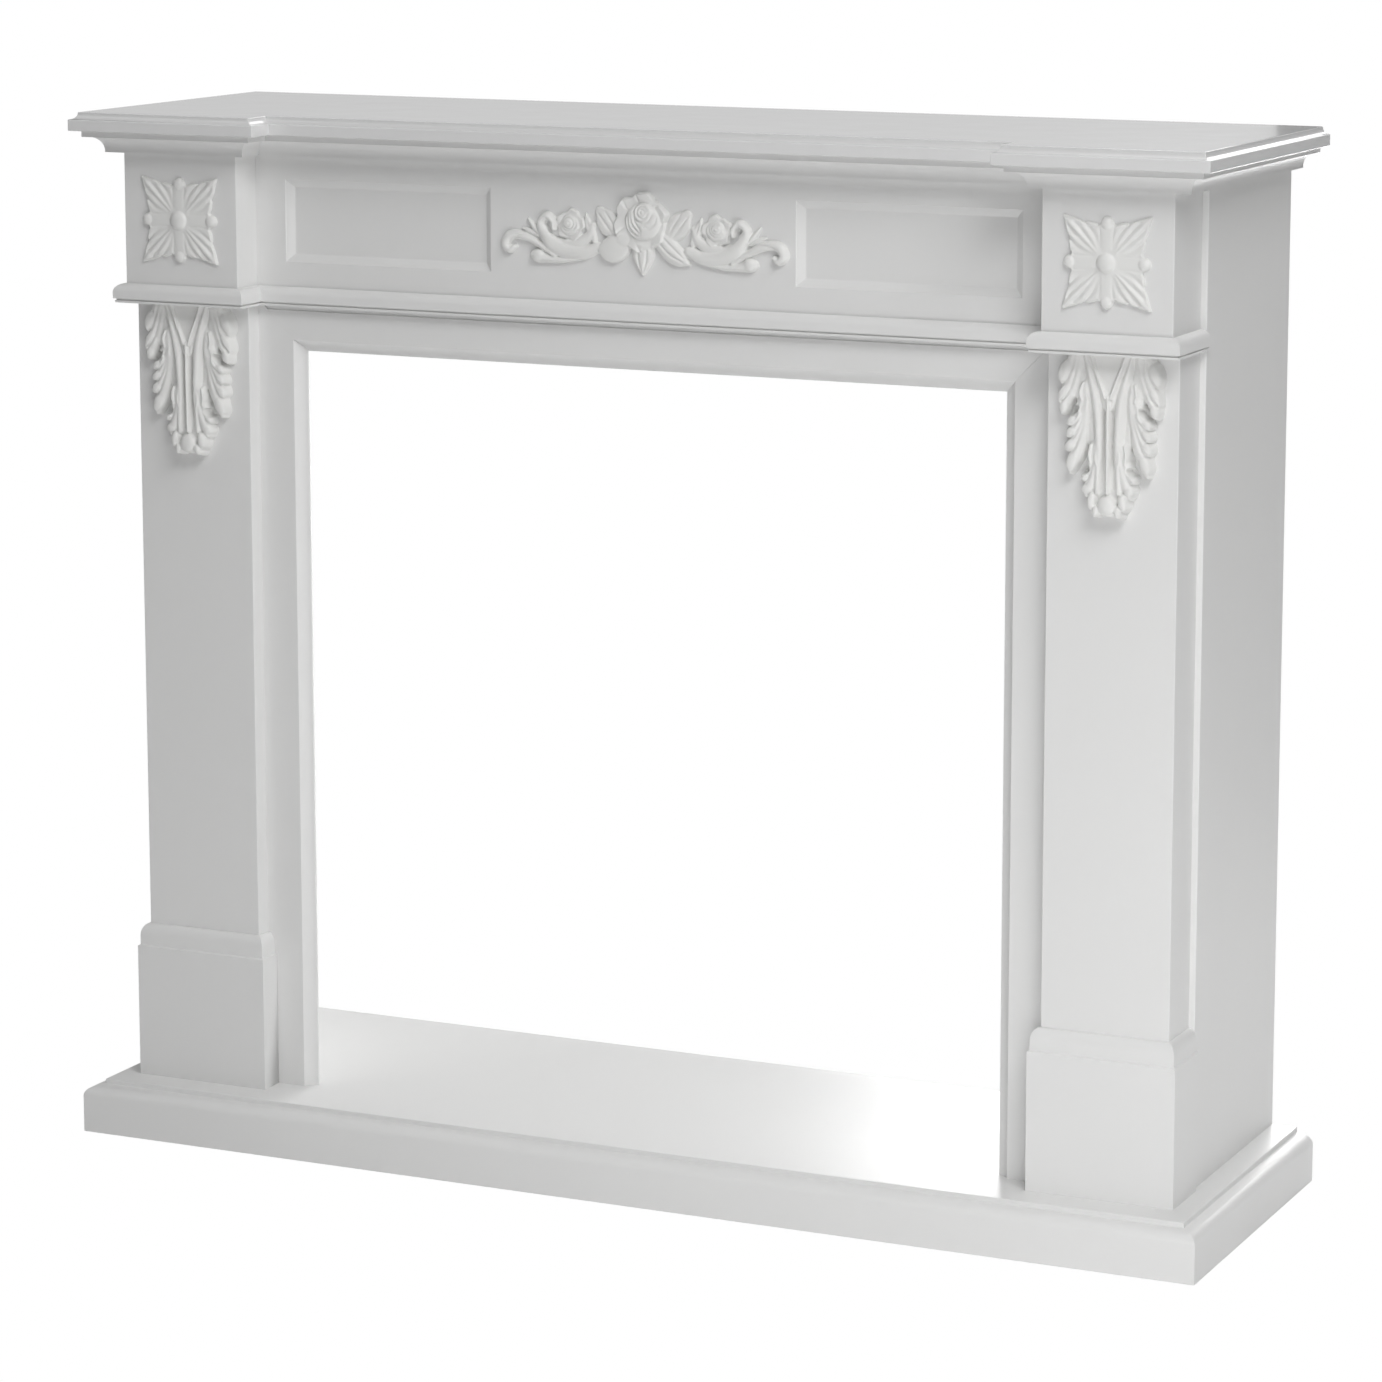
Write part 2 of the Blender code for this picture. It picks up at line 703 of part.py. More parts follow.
# Middle swag: a rose among leaves, a small rose each side and scrolls beyond
def swag(name):
    reach = 0.1490
    form = Relief(SWAG_X, FRIEZE_Y, SWAG_Z, unit=SWAG_HALF / reach)
    form.rose(0.0, 0.0, 0.0262, 0.0150, turn=0.3)
    form.leaf(
        (0.0, -0.0150),
        (0.0015, -0.0330),
        (-0.0010, -0.0500),
        0.0105,
        (0.0080, 0.0085, 0.0040),
        rib=-0.0015,
    )
    form.leaf(
        (0.0120, -0.0100),
        (0.0300, -0.0300),
        (0.0500, -0.0330),
        0.0125,
        (0.0080, 0.0095, 0.0045),
        lobes=2,
    )
    form.leaf(
        (-0.0120, -0.0100),
        (-0.0280, -0.0270),
        (-0.0460, -0.0300),
        0.0125,
        (0.0080, 0.0100, 0.0060),
    )
    for hand in (-1, 1):
        form.leaf(
            (hand * 0.0160, 0.0060),
            (hand * 0.0340, 0.0220),
            (hand * 0.0530, 0.0180),
            0.0105,
            (0.0070, 0.0085, 0.0040),
            lobes=3,
        )
        form.leaf(
            (hand * 0.0180, -0.0020),
            (hand * 0.0420, 0.0040),
            (hand * 0.0640, -0.0060),
            0.0100,
            (0.0060, 0.0075, 0.0050),
        )
        form.rose(hand * 0.0750, -0.0055, 0.0160, 0.0110, outer=5, inner=3)
        form.leaf(
            (hand * 0.0740, -0.0120),
            (hand * 0.0860, -0.0330),
            (hand * 0.1050, -0.0360),
            0.0065,
            (0.0060, 0.0070, 0.0060),
        )
        form.bud(hand * 0.1070, -0.0360, 0.0025, 0.0068, 0.0062, 0.0060)
        form.volute(hand * 0.0990, 0.0020, 0.0150, 0.0050, 90 + hand * 70, -hand * 330, 0.0042, 0.0080)
        form.leaf(
            (hand * 0.1040, -0.0120),
            (hand * 0.1220, -0.0420),
            (hand * 0.1400, -0.0290),
            0.0062,
            (0.0060, 0.0065, 0.0070),
        )
        form.volute(hand * 0.1360, -0.0270, 0.0095, 0.0035, 90 - hand * 60, hand * 300, 0.0040, 0.0070)
        form.leaf(
            (hand * 0.1100, 0.0060),
            (hand * 0.1220, 0.0060),
            (hand * 0.1310, -0.0050),
            0.0052,
            (0.0050, 0.0060, 0.0035),
        )
    form.finish(name, SWAG_SHARE)


# Share of the cast surface kept as facets
ROSETTE_SHARE = 0.028
CORBEL_SHARE = 0.024
SWAG_SHARE = 0.037

for side, word in ((-1, "left"), (1, "right")):
    rosette("rosette_" + word, side * ORNAMENT_X, side)
    corbel("corbel_" + word, side * ORNAMENT_X, side)
swag("rose_swag")

# Everything hangs from one origin at the bottom centre of the whole piece
origin = bpy.data.objects.new("mantelpiece_origin", None)
parts.objects.link(origin)
origin.location = (0.0, -DEPTH / 2, 0.0)
for obj in list(parts.objects) + list(cutters.objects):
    if obj is not origin:
        obj.parent = origin
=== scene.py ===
import math

import bmesh
import bpy
import numpy as np
from bpy.props import FloatProperty, FloatVectorProperty, IntProperty, PointerProperty
from mathutils import Matrix, Vector


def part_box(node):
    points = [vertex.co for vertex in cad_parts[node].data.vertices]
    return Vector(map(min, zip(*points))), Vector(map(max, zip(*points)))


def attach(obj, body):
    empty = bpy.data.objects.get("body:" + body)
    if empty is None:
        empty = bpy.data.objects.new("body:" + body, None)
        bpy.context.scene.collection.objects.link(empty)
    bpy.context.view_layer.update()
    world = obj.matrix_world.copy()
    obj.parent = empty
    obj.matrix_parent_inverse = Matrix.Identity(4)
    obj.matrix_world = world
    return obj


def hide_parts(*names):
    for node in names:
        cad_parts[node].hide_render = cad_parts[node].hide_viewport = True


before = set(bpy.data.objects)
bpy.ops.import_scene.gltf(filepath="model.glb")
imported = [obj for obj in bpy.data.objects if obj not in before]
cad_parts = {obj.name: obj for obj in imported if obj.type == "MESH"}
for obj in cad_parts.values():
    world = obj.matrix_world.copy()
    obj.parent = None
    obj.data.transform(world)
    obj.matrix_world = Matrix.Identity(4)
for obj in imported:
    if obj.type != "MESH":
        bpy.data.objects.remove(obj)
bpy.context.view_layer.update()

bl_info = {
    "name": "Fireplace mantelpiece",
    "version": (1, 0, 0),
    "blender": (4, 5, 0),
    "location": "View3D > Sidebar > Mantelpiece",
    "description": "Builds a white painted fire surround with cast ornaments",
    "category": "Add Mesh",
}

GAP = 0.0003


# Sizes and colours that a maker would change


class MouldingSizes(bpy.types.PropertyGroup):
    arris: FloatProperty(
        name="Arris", description="Width of the eased edges", default=0.0007, unit="LENGTH"
    )
    plinth_face: FloatProperty(
        name="Plinth face", description="Height of the flat face of the plinth", default=0.0364, unit="LENGTH"
    )
    plinth_round: FloatProperty(
        name="Plinth round", description="Width of the rounded upper edge", default=0.0160, unit="LENGTH"
    )
    plinth_rise: FloatProperty(
        name="Plinth rise", description="Height of the rounded upper edge", default=0.0098, unit="LENGTH"
    )
    foot_face: FloatProperty(
        name="Foot block face", description="Height where the ovolo of the foot block starts",
        default=0.1808, unit="LENGTH",
    )
    foot_step: FloatProperty(
        name="Foot block step", description="Small step under the ovolo", default=0.0020, unit="LENGTH"
    )
    foot_ovolo: FloatProperty(
        name="Foot block ovolo", description="Height of the ovolo", default=0.0120, unit="LENGTH"
    )
    nose: FloatProperty(
        name="Nose", description="Height of the round nose of the middle moulding",
        default=0.0081, unit="LENGTH",
    )
    scoop: FloatProperty(
        name="Shelf scoop", description="Radius of the scoop along the shelf edge",
        default=0.0060, unit="LENGTH",
    )
    lip: FloatProperty(
        name="Shelf lip", description="Small flat above the scoop", default=0.0010, unit="LENGTH"
    )
    fillet: FloatProperty(
        name="Fillet", description="Height of the fillet under the shelf", default=0.0060, unit="LENGTH"
    )
    cove: FloatProperty(
        name="Cove", description="Reach of the cove under the fillet", default=0.0118, unit="LENGTH"
    )
    hollow: FloatProperty(
        name="Hollow", description="Width of the hollow edge round the opening", default=0.0110, unit="LENGTH"
    )
    hollow_deep: FloatProperty(
        name="Hollow depth", description="How far the hollow falls behind the frame",
        default=0.0090, unit="LENGTH",
    )
    hollow_share: FloatProperty(
        name="Hollow share", description="Between a flat slope at 0 and a full quarter hollow at 1",
        default=0.5,
    )
    quirk: FloatProperty(
        name="Quirk", description="Height of the fine slots under the middle moulding",
        default=0.0012, unit="LENGTH",
    )
    quirk_deep: FloatProperty(
        name="Quirk depth", description="Depth of those slots", default=0.0012, unit="LENGTH"
    )
    panel_depth: FloatProperty(
        name="Panel depth", description="Depth of the sunk panels", default=0.0065, unit="LENGTH"
    )
    panel_inner: FloatProperty(
        name="Panel inner end", description="Middle to the near end of a sunk panel",
        default=0.1553, unit="LENGTH",
    )
    panel_outer: FloatProperty(
        name="Panel outer end", description="Middle to the far end of a sunk panel",
        default=0.3740, unit="LENGTH",
    )
    panel_low: FloatProperty(
        name="Panel foot", description="Height of the lower edge of a panel", default=0.8604, unit="LENGTH"
    )
    panel_high: FloatProperty(
        name="Panel head", description="Height of the upper edge of a panel", default=0.9381, unit="LENGTH"
    )
    break_half: FloatProperty(
        name="Shelf break", description="Middle to the place where the shelf steps forward",
        default=0.3694, unit="LENGTH",
    )
    break_step: FloatProperty(
        name="Shelf step", description="How far the shelf steps forward", default=0.0315, unit="LENGTH"
    )
    curve_steps: IntProperty(
        name="Curve steps", description="Facets in a quarter round", default=12, min=3
    )


class OrnamentSizes(bpy.types.PropertyGroup):
    grain: FloatProperty(
        name="Grain", description="Spacing of the points of a cast surface", default=0.0005, unit="LENGTH"
    )
    soften: IntProperty(
        name="Soften", description="Passes of smoothing, as paint fills a casting", default=2, min=0
    )
    swag_relief: FloatProperty(
        name="Swag relief", description="Height of the swag, as a share of the drawn height", default=0.8
    )
    swag_across: FloatProperty(
        name="Swag place", description="How far the swag sits to the right", default=0.003, unit="LENGTH"
    )
    swag_up: FloatProperty(
        name="Swag height", description="Height of the middle of the rose", default=0.9125, unit="LENGTH"
    )
    side_slope: FloatProperty(
        name="Side slope", description="How steeply the edges of the leaves fall", default=6.0
    )


class PaintLooks(bpy.types.PropertyGroup):
    board: FloatVectorProperty(
        name="Board white", description="Lacquer on the boards", default=(0.80, 0.80, 0.795), subtype="COLOR"
    )
    shelf: FloatVectorProperty(
        name="Shelf white", description="Lacquer on the shelf", default=(0.80, 0.80, 0.80), subtype="COLOR"
    )
    cast: FloatVectorProperty(
        name="Ornament white", description="Paint on the cast ornaments",
        default=(0.82, 0.82, 0.805), subtype="COLOR",
    )
    satin: FloatProperty(
        name="Board roughness", description="Roughness of the board lacquer", default=0.42, min=0.0, max=1.0
    )
    gloss: FloatProperty(
        name="Shelf roughness", description="Roughness of the shelf lacquer", default=0.16, min=0.0, max=1.0
    )


class StudioLooks(bpy.types.PropertyGroup):
    lens: FloatProperty(
        name="Lens", description="Focal length on a 36 mm sensor, in millimetres", default=121.0
    )
    key: FloatProperty(name="Key light", description="Power of the soft light from the right", default=54.5)
    front: FloatProperty(name="Front light", description="Power of the smaller light in front", default=19.0)
    fill: FloatProperty(name="Fill light", description="Power of the weak light from the left", default=11.0)
    top: FloatProperty(name="Top light", description="Power of the light overhead", default=15.3)
    rim: FloatProperty(name="Rim light", description="Power of the light from behind", default=35.0)
    bounce: FloatProperty(name="Wall bounce", description="Light that comes back off the wall", default=17.5)
    card: FloatProperty(name="White card", description="Pale card that the shelf top mirrors", default=5.0)
    strip: FloatProperty(name="Floor strip", description="Low light near the plinth", default=4.6)
    room: FloatProperty(name="Room light", description="Strength of the even light all round", default=0.1165)
    ground: FloatVectorProperty(
        name="Floor white", description="Colour of the pale floor",
        default=(0.93, 0.93, 0.93), subtype="COLOR",
    )


def sizes():
    return bpy.context.scene.mantel_mouldings


def cast_sizes():
    return bpy.context.scene.mantel_ornaments


def paints():
    return bpy.context.scene.mantel_paints


def studio():
    return bpy.context.scene.mantel_studio


# Painted finishes


def satin_paint(name, colour, rough, orange_peel, brushed, coat=0.0):
    """Sprayed white lacquer: faint cloudiness, orange peel and a slightly uneven sheen"""
    found = bpy.data.materials.get(name)
    if found:
        return found
    mat = bpy.data.materials.new(name)
    mat.use_nodes = True
    tree = mat.node_tree
    nodes = tree.nodes
    link = tree.links.new
    shader = nodes["Principled BSDF"]
    shader.inputs["Specular IOR Level"].default_value = 0.5
    shader.inputs["Coat Weight"].default_value = coat
    shader.inputs["Coat Roughness"].default_value = 0.08
    where = nodes.new("ShaderNodeTexCoord")

    cloud = nodes.new("ShaderNodeTexNoise")
    cloud.inputs["Scale"].default_value = 6.0
    cloud.inputs["Detail"].default_value = 4.0
    link(where.outputs["Object"], cloud.inputs["Vector"])
    tone = nodes.new("ShaderNodeMix")
    tone.data_type = "RGBA"
    tone.inputs[6].default_value = (*(c * 0.985 for c in colour), 1.0)
    tone.inputs[7].default_value = (*(min(c * 1.012, 1.0) for c in colour), 1.0)
    link(cloud.outputs["Fac"], tone.inputs[0])
    link(tone.outputs[2], shader.inputs["Base Color"])

    sheen = nodes.new("ShaderNodeTexNoise")
    sheen.inputs["Scale"].default_value = 22.0
    sheen.inputs["Detail"].default_value = 3.0
    link(where.outputs["Object"], sheen.inputs["Vector"])
    spread = nodes.new("ShaderNodeMapRange")
    spread.inputs["To Min"].default_value = rough * 0.90
    spread.inputs["To Max"].default_value = rough * 1.12
    link(sheen.outputs["Fac"], spread.inputs["Value"])
    link(spread.outputs["Result"], shader.inputs["Roughness"])

    peel = nodes.new("ShaderNodeTexNoise")
    peel.inputs["Scale"].default_value = 900.0
    peel.inputs["Detail"].default_value = 2.0
    link(where.outputs["Object"], peel.inputs["Vector"])
    stretch = nodes.new("ShaderNodeMapping")
    stretch.inputs["Scale"].default_value = (3.0, 3.0, 60.0)
    link(where.outputs["Object"], stretch.inputs["Vector"])
    wave = nodes.new("ShaderNodeTexNoise")
    wave.inputs["Scale"].default_value = 4.0
    wave.inputs["Detail"].default_value = 3.0
    link(stretch.outputs["Vector"], wave.inputs["Vector"])
    fine = nodes.new("ShaderNodeBump")
    fine.inputs["Strength"].default_value = orange_peel
    fine.inputs["Distance"].default_value = 0.00012
    link(peel.outputs["Fac"], fine.inputs["Height"])
    broad = nodes.new("ShaderNodeBump")
    broad.inputs["Strength"].default_value = brushed
    broad.inputs["Distance"].default_value = 0.0002
    link(wave.outputs["Fac"], broad.inputs["Height"])
    link(fine.outputs["Normal"], broad.inputs["Normal"])
    link(broad.outputs["Normal"], shader.inputs["Normal"])
    return mat


def board_paint():
    return satin_paint("board_lacquer", paints().board, paints().satin, 0.35, 0.10)


def shelf_paint():
    return satin_paint("shelf_lacquer", paints().shelf, paints().gloss, 0.12, 0.05, coat=0.35)


def cast_paint():
    return satin_paint("ornament_paint", paints().cast, paints().satin + 0.03, 0.50, 0.0)


# Boards and mouldings


def finished(name, bm, paint, nodes, smooth_angle=32.0):
    """A named piece from a bmesh, riding on the body and standing for its CAD nodes"""
    bmesh.ops.remove_doubles(bm, verts=bm.verts, dist=0.000002)
    bmesh.ops.recalc_face_normals(bm, faces=bm.faces)
    mesh = bpy.data.meshes.new(name)
    bm.to_mesh(mesh)
    bm.free()
    obj = bpy.data.objects.new(name, mesh)
    bpy.context.scene.collection.objects.link(obj)
    mesh.materials.append(paint)
    mesh.shade_smooth()
    mesh.set_sharp_from_angle(angle=math.radians(smooth_angle))
    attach(obj, "root")
    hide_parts(*nodes)
    return obj


def ease(obj, width=None, limit=34.0, joints=()):
    """Sanded arrises: a narrow rounding on every sharp edge that isn't painted over at a joint"""
    mesh = obj.data
    mesh.shade_smooth()
    bm = bmesh.new()
    bm.from_mesh(mesh)
    rounded = []
    for edge in bm.edges:
        sharp = edge.calc_face_angle(0.0) > math.radians(limit)
        covered = any(all(abs(v.co[axis] - place) < 1e-5 for v in edge.verts) for axis, place in joints)
        rounded.append(1.0 if sharp and not covered else 0.0)
    bm.free()
    mesh.attributes.new("bevel_weight_edge", "FLOAT", "EDGE").data.foreach_set("value", rounded)
    arris = obj.modifiers.new("arris", "BEVEL")
    arris.width = width or sizes().arris
    arris.segments = 2
    arris.limit_method = "WEIGHT"
    arris.use_clamp_overlap = True
    even = obj.modifiers.new("even_faces", "WEIGHTED_NORMAL")
    even.keep_sharp = True
    even.weight = 80


def board(low, high):
    """A plain board between two corners"""
    bm = bmesh.new()
    middle = Matrix.Translation((Vector(low) + Vector(high)) / 2)
    size = Matrix.Diagonal((*(Vector(high) - Vector(low)), 1.0))
    bmesh.ops.create_cube(bm, size=1.0, matrix=middle @ size)
    return bm


def recess(obj, low, high):
    """Cut a square-cornered recess out of a piece"""
    bm = board(low, high)
    mesh = bpy.data.meshes.new("recess_tool")
    bm.to_mesh(mesh)
    bm.free()
    tool = bpy.data.objects.new("recess_tool", mesh)
    bpy.context.scene.collection.objects.link(tool)
    cut = obj.modifiers.new("recess", "BOOLEAN")
    cut.operation = "DIFFERENCE"
    cut.solver = "EXACT"
    cut.object = tool
    seen = obj.evaluated_get(bpy.context.evaluated_depsgraph_get())
    done = bpy.data.meshes.new_from_object(seen)
    obj.modifiers.clear()
    obj.data = done
    bpy.data.objects.remove(tool, do_unlink=True)


def quarter(cx, cz, rx, rz, start, end):
    """Arc of a moulding profile about a centre"""
    steps = sizes().curve_steps
    found = []
    for i in range(steps + 1):
        a = math.radians(start + (end - start) * i / steps)
        found.append((cx + rx * math.cos(a), cz + rz * math.sin(a)))
    return found


def moved_path(path, out):
    """A plan path of square turns moved outward, its two ends kept on the back line"""
    normals = []
    for a, b in zip(path, path[1:]):
        along = Vector((b[0] - a[0], b[1] - a[1])).normalized()
        normals.append(Vector((along.y, -along.x)))
    found = []
    for i, (x, y) in enumerate(path):
        push = Vector((0.0, 0.0))
        if i > 0:
            push += normals[i - 1]
        if i < len(normals):
            push += normals[i]
        if i in (0, len(path) - 1):
            push.y = 0.0
        found.append((x + push.x * out, y + push.y * out))
    return found


def grow(bm, face, ring, spots, keep=False):
    """Extrude a face and set its corners down on new spots, kept in order"""
    old = [v.co.copy() for v in ring]
    got = bmesh.ops.extrude_face_region(bm, geom=[face])["geom"]
    if not keep and face.is_valid:
        bmesh.ops.delete(bm, geom=[face], context="FACES_ONLY")
    face = next(g for g in got if isinstance(g, bmesh.types.BMFace))
    fresh = [None] * len(ring)
    for v in face.verts:
        i = min(range(len(old)), key=lambda k: (old[k] - v.co).length_squared)
        fresh[i] = v
    for v, spot in zip(fresh, spots):
        v.co = spot
    return face, fresh


def carried(rings):
    """A solid made by extruding a flat face through one ring of corners after another"""
    bm = bmesh.new()
    ring = [bm.verts.new(p) for p in rings[0]]
    face = bm.faces.new(ring)
    for i, spots in enumerate(rings[1:]):
        face, ring = grow(bm, face, ring, spots, keep=i == 0)
    return bm


def course(path, profile):
    """A moulded course that turns round a plan path with mitred corners"""
    return carried([[(x, y, z) for x, y in moved_path(path, out)] for out, z in profile])


def make_plinth():
    size = sizes()
    low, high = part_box("base_plinth")
    path = [(low.x, high.y), (low.x, low.y), (high.x, low.y), (high.x, high.y)]
    profile = [(0.0, 0.0)]
    profile += quarter(-size.plinth_round, size.plinth_face, size.plinth_round, size.plinth_rise, 0, 90)
    profile += [(-size.plinth_round, high.z)]
    plinth = finished(
        "plinth_moulded", course(path, profile), board_paint(), ["base_plinth"]
    )
    panel_low, panel_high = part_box("hearth_panel")
    recess(
        plinth,
        (panel_low.x - GAP, panel_low.y - GAP, panel_low.z - GAP),
        (panel_high.x + GAP, high.y + 0.01, high.z + 0.01),
    )
    ease(plinth)
    panel = finished(
        "hearth_board", board(panel_low, panel_high), board_paint(), ["hearth_panel"]
    )
    ease(panel, size.arris * 0.6)


def make_legs():
    size = sizes()
    for word, side in (("left", -1), ("right", 1)):
        for node, name in (("side_panel_", "side_board_"), ("pilaster_shaft_", "shaft_board_")):
            low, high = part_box(node + word)
            low.z -= GAP
            high.z += GAP
            if node == "side_panel_":
                low.y -= GAP
            piece = finished(name + word, board(low, high), board_paint(), [node + word])
            ease(piece, joints=((2, low.z), (2, high.z), (1, high.y if node == "pilaster_shaft_" else -1)))
        low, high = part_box("capital_block_" + word)
        low.z -= GAP
        high.z += GAP
        piece = finished(
            "capital_board_" + word, board(low, high), board_paint(), ["capital_block_" + word]
        )
        ease(piece, joints=((2, low.z), (2, high.z)))
        low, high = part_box("foot_block_" + word)
        low.z -= GAP
        shaft_low, shaft_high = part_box("pilaster_shaft_" + word)
        over = shaft_low.y - low.y
        path = [(low.x, high.y), (low.x, low.y), (high.x, low.y), (high.x, high.y)]
        profile = [(0.0, low.z), (0.0, size.foot_face)]
        profile += [(-size.foot_step, size.foot_face + size.foot_step * 0.6)]
        profile += quarter(
            -over, high.z - size.foot_ovolo, over - size.foot_step, size.foot_ovolo, 0, 90
        )
        foot = finished(
            "foot_moulded_" + word, course(path, profile), board_paint(),
            ["foot_block_" + word],
        )
        inner = shaft_high.x if side < 0 else shaft_low.x
        frame_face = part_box("frame_stile_" + word)[0].y
        xs = sorted((inner, inner - side * (over + 0.01)))
        recess(
            foot,
            (xs[0], frame_face - GAP, low.z - 0.01),
            (xs[1], high.y + 0.01, high.z + 0.01),
        )
        ease(foot, joints=((2, low.z),))


def sliced(bm, place, across):
    """Cut the faces of a mesh along a plane and keep both sides"""
    geom = list(bm.verts) + list(bm.edges) + list(bm.faces)
    bmesh.ops.bisect_plane(bm, geom=geom, plane_co=place, plane_no=across, dist=0.000001)


def make_frieze():
    size = sizes()
    low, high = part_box("frieze_board")
    low.x, low.z = low.x - GAP, low.z - GAP
    high.x, high.z = high.x + GAP, high.z + GAP
    bm = board(low, high)
    for x in (-size.panel_outer, -size.panel_inner, size.panel_inner, size.panel_outer):
        sliced(bm, (x, 0, 0), (1, 0, 0))
    for z in (size.panel_low, size.panel_high):
        sliced(bm, (0, 0, z), (0, 0, 1))
    middle_x = (size.panel_inner + size.panel_outer) / 2
    middle_z = (size.panel_low + size.panel_high) / 2
    steps = [(0.0, 0.0010), (0.0025, 0.0024), (0.0050, 0.0046), (0.0072, size.panel_depth)]
    for side in (-1, 1):
        middle = Vector((side * middle_x, low.y, middle_z))
        for face in list(bm.faces):
            c = face.calc_center_median()
            if (c - middle).length > 0.005:
                continue
            ring = list(face.verts)
            first = [v.co.copy() for v in ring]
            for inset, deep in steps:
                spots = [
                    (
                        p.x + math.copysign(inset, c.x - p.x),
                        low.y + deep,
                        p.z + math.copysign(inset, c.z - p.z),
                    )
                    for p in first
                ]
                face, ring = grow(bm, face, ring, spots)
    frieze = finished("frieze_panelled", bm, board_paint(), ["frieze_board"])
    ease(frieze, size.arris * 0.7, joints=((0, low.x), (0, high.x), (2, low.z), (2, high.z)))


def make_courses():
    size = sizes()
    mid_low, mid_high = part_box("mid_moulding")
    out_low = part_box("capital_block_left")[0]
    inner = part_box("frieze_board")[1].x + GAP
    front = out_low.y
    back = mid_high.y
    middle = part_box("frieze_board")[0].y
    outer = -out_low.x
    over = front - mid_low.y
    path = [
        (-outer, back), (-outer, front), (-inner, front), (-inner, middle),
        (inner, middle), (inner, front), (outer, front), (outer, back),
    ]
    # a small fillet stands behind the nose, with a fine slot between the two
    fillet_top = mid_low.z + 0.0028
    fillet_face = over - 0.0014
    slot_back = fillet_face - size.quirk_deep
    slot_top = fillet_top + size.quirk
    profile = [
        (fillet_face - 0.0032, mid_low.z), (fillet_face - 0.0004, mid_low.z + 0.0004),
        (fillet_face, fillet_top - 0.0002), (slot_back, fillet_top), (slot_back, slot_top),
        (over, slot_top + 0.0004),
    ]
    profile += quarter(0.0, mid_high.z - size.nose, over, size.nose, 0, 90)
    nose = finished(
        "middle_moulding", course(path, profile), board_paint(), ["mid_moulding"]
    )
    ease(nose)

    shelf_low, shelf_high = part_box("mantel_shelf")
    bed_low, bed_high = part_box("bed_cove")
    break_x = size.break_half
    set_y = shelf_low.y + size.break_step
    path = [
        (shelf_low.x, shelf_high.y), (shelf_low.x, shelf_low.y), (-break_x, shelf_low.y), (-break_x, set_y),
        (break_x, set_y), (break_x, shelf_low.y), (shelf_high.x, shelf_low.y), (shelf_high.x, shelf_high.y),
    ]
    back_set = bed_low.x - shelf_low.x
    fillet_low = bed_high.z + GAP - size.fillet
    flat = 0.0042
    cove_h = fillet_low - bed_low.z - 0.0012
    profile = [(-back_set - flat - size.cove, bed_low.z)]
    profile += quarter(-back_set - flat, fillet_low - cove_h, size.cove, cove_h, 180, 90)
    profile += [(-back_set, fillet_low), (-back_set, bed_high.z + GAP)]
    cove = finished("bed_moulding", course(path, profile), board_paint(), ["bed_cove"])
    ease(cove, size.arris * 0.8, joints=((2, bed_low.z), (2, bed_high.z + GAP)))

    edge_top = shelf_high.z - size.scoop - size.lip
    profile = [(0.0, shelf_low.z), (0.0, edge_top), (-size.lip, edge_top + 0.0004)]
    profile += quarter(-size.lip, shelf_high.z - 0.0006, size.scoop, size.scoop, 270, 180)[1:]
    profile += [(-size.lip - size.scoop, shelf_high.z)]
    shelf = finished("shelf_moulded", course(path, profile), shelf_paint(), ["mantel_shelf"])
    ease(shelf, size.arris * 0.8)


def frame_section(width, face_y, thick, corner=None):
    """Section of a frame member: distance from the opening edge, and depth"""
    size = sizes()
    found = [(0.0, face_y + thick)]
    arc = quarter(0.0, 0.0, size.hollow, size.hollow_deep, 90, 0)
    for i, (w, deep) in enumerate(arc):
        share = i / (len(arc) - 1)
        flat_w, flat_deep = size.hollow * share, size.hollow_deep * (1 - share)
        found.append((
            flat_w + (w - flat_w) * size.hollow_share,
            face_y + flat_deep + (deep - flat_deep) * size.hollow_share,
        ))
    outer = [(width, face_y), (width, face_y + thick)]
    if corner:
        outer = [(corner, face_y), *outer, (corner, face_y + thick)]
    else:
        # the head rail has a fine slot along its upper edge, under the middle moulding
        slot_low = width - 0.0026 - size.quirk
        slot_y = face_y + size.quirk_deep * 1.4
        outer = [(slot_low, face_y), (slot_low, slot_y), (width, slot_y), (width, face_y + thick)]
    return found + outer


def make_opening_frame():
    size = sizes()
    for word, side in (("left", -1), ("right", 1)):
        low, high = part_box("frame_stile_" + word)
        inner = low.x if side > 0 else -high.x
        rail_low, rail_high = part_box("frame_head")
        width = high.x - low.x + GAP
        section = frame_section(width, low.y, high.y - low.y, rail_high.z - rail_low.z)
        foot = low.z - GAP
        rings = [
            [(side * (inner + w), y, foot) for w, y in section],
            [(side * (inner + w), y, min(rail_low.z + w, rail_high.z)) for w, y in section],
        ]
        stile = finished(
            "stile_beaded_" + word, carried(rings), board_paint(), ["frame_stile_" + word]
        )
        ease(stile, size.arris * 0.5, joints=((2, foot), (0, side * (inner + width))))
    low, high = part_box("frame_head")
    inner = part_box("frame_stile_right")[0].x
    section = frame_section(high.z - low.z, low.y, high.y - low.y)
    rings = [[(s * (inner + w), y, low.z + w) for w, y in section] for s in (-1, 1)]
    rail = finished("head_rail_beaded", carried(rings), board_paint(), ["frame_head"])
    ease(rail, size.arris * 0.5)


# Cast ornaments


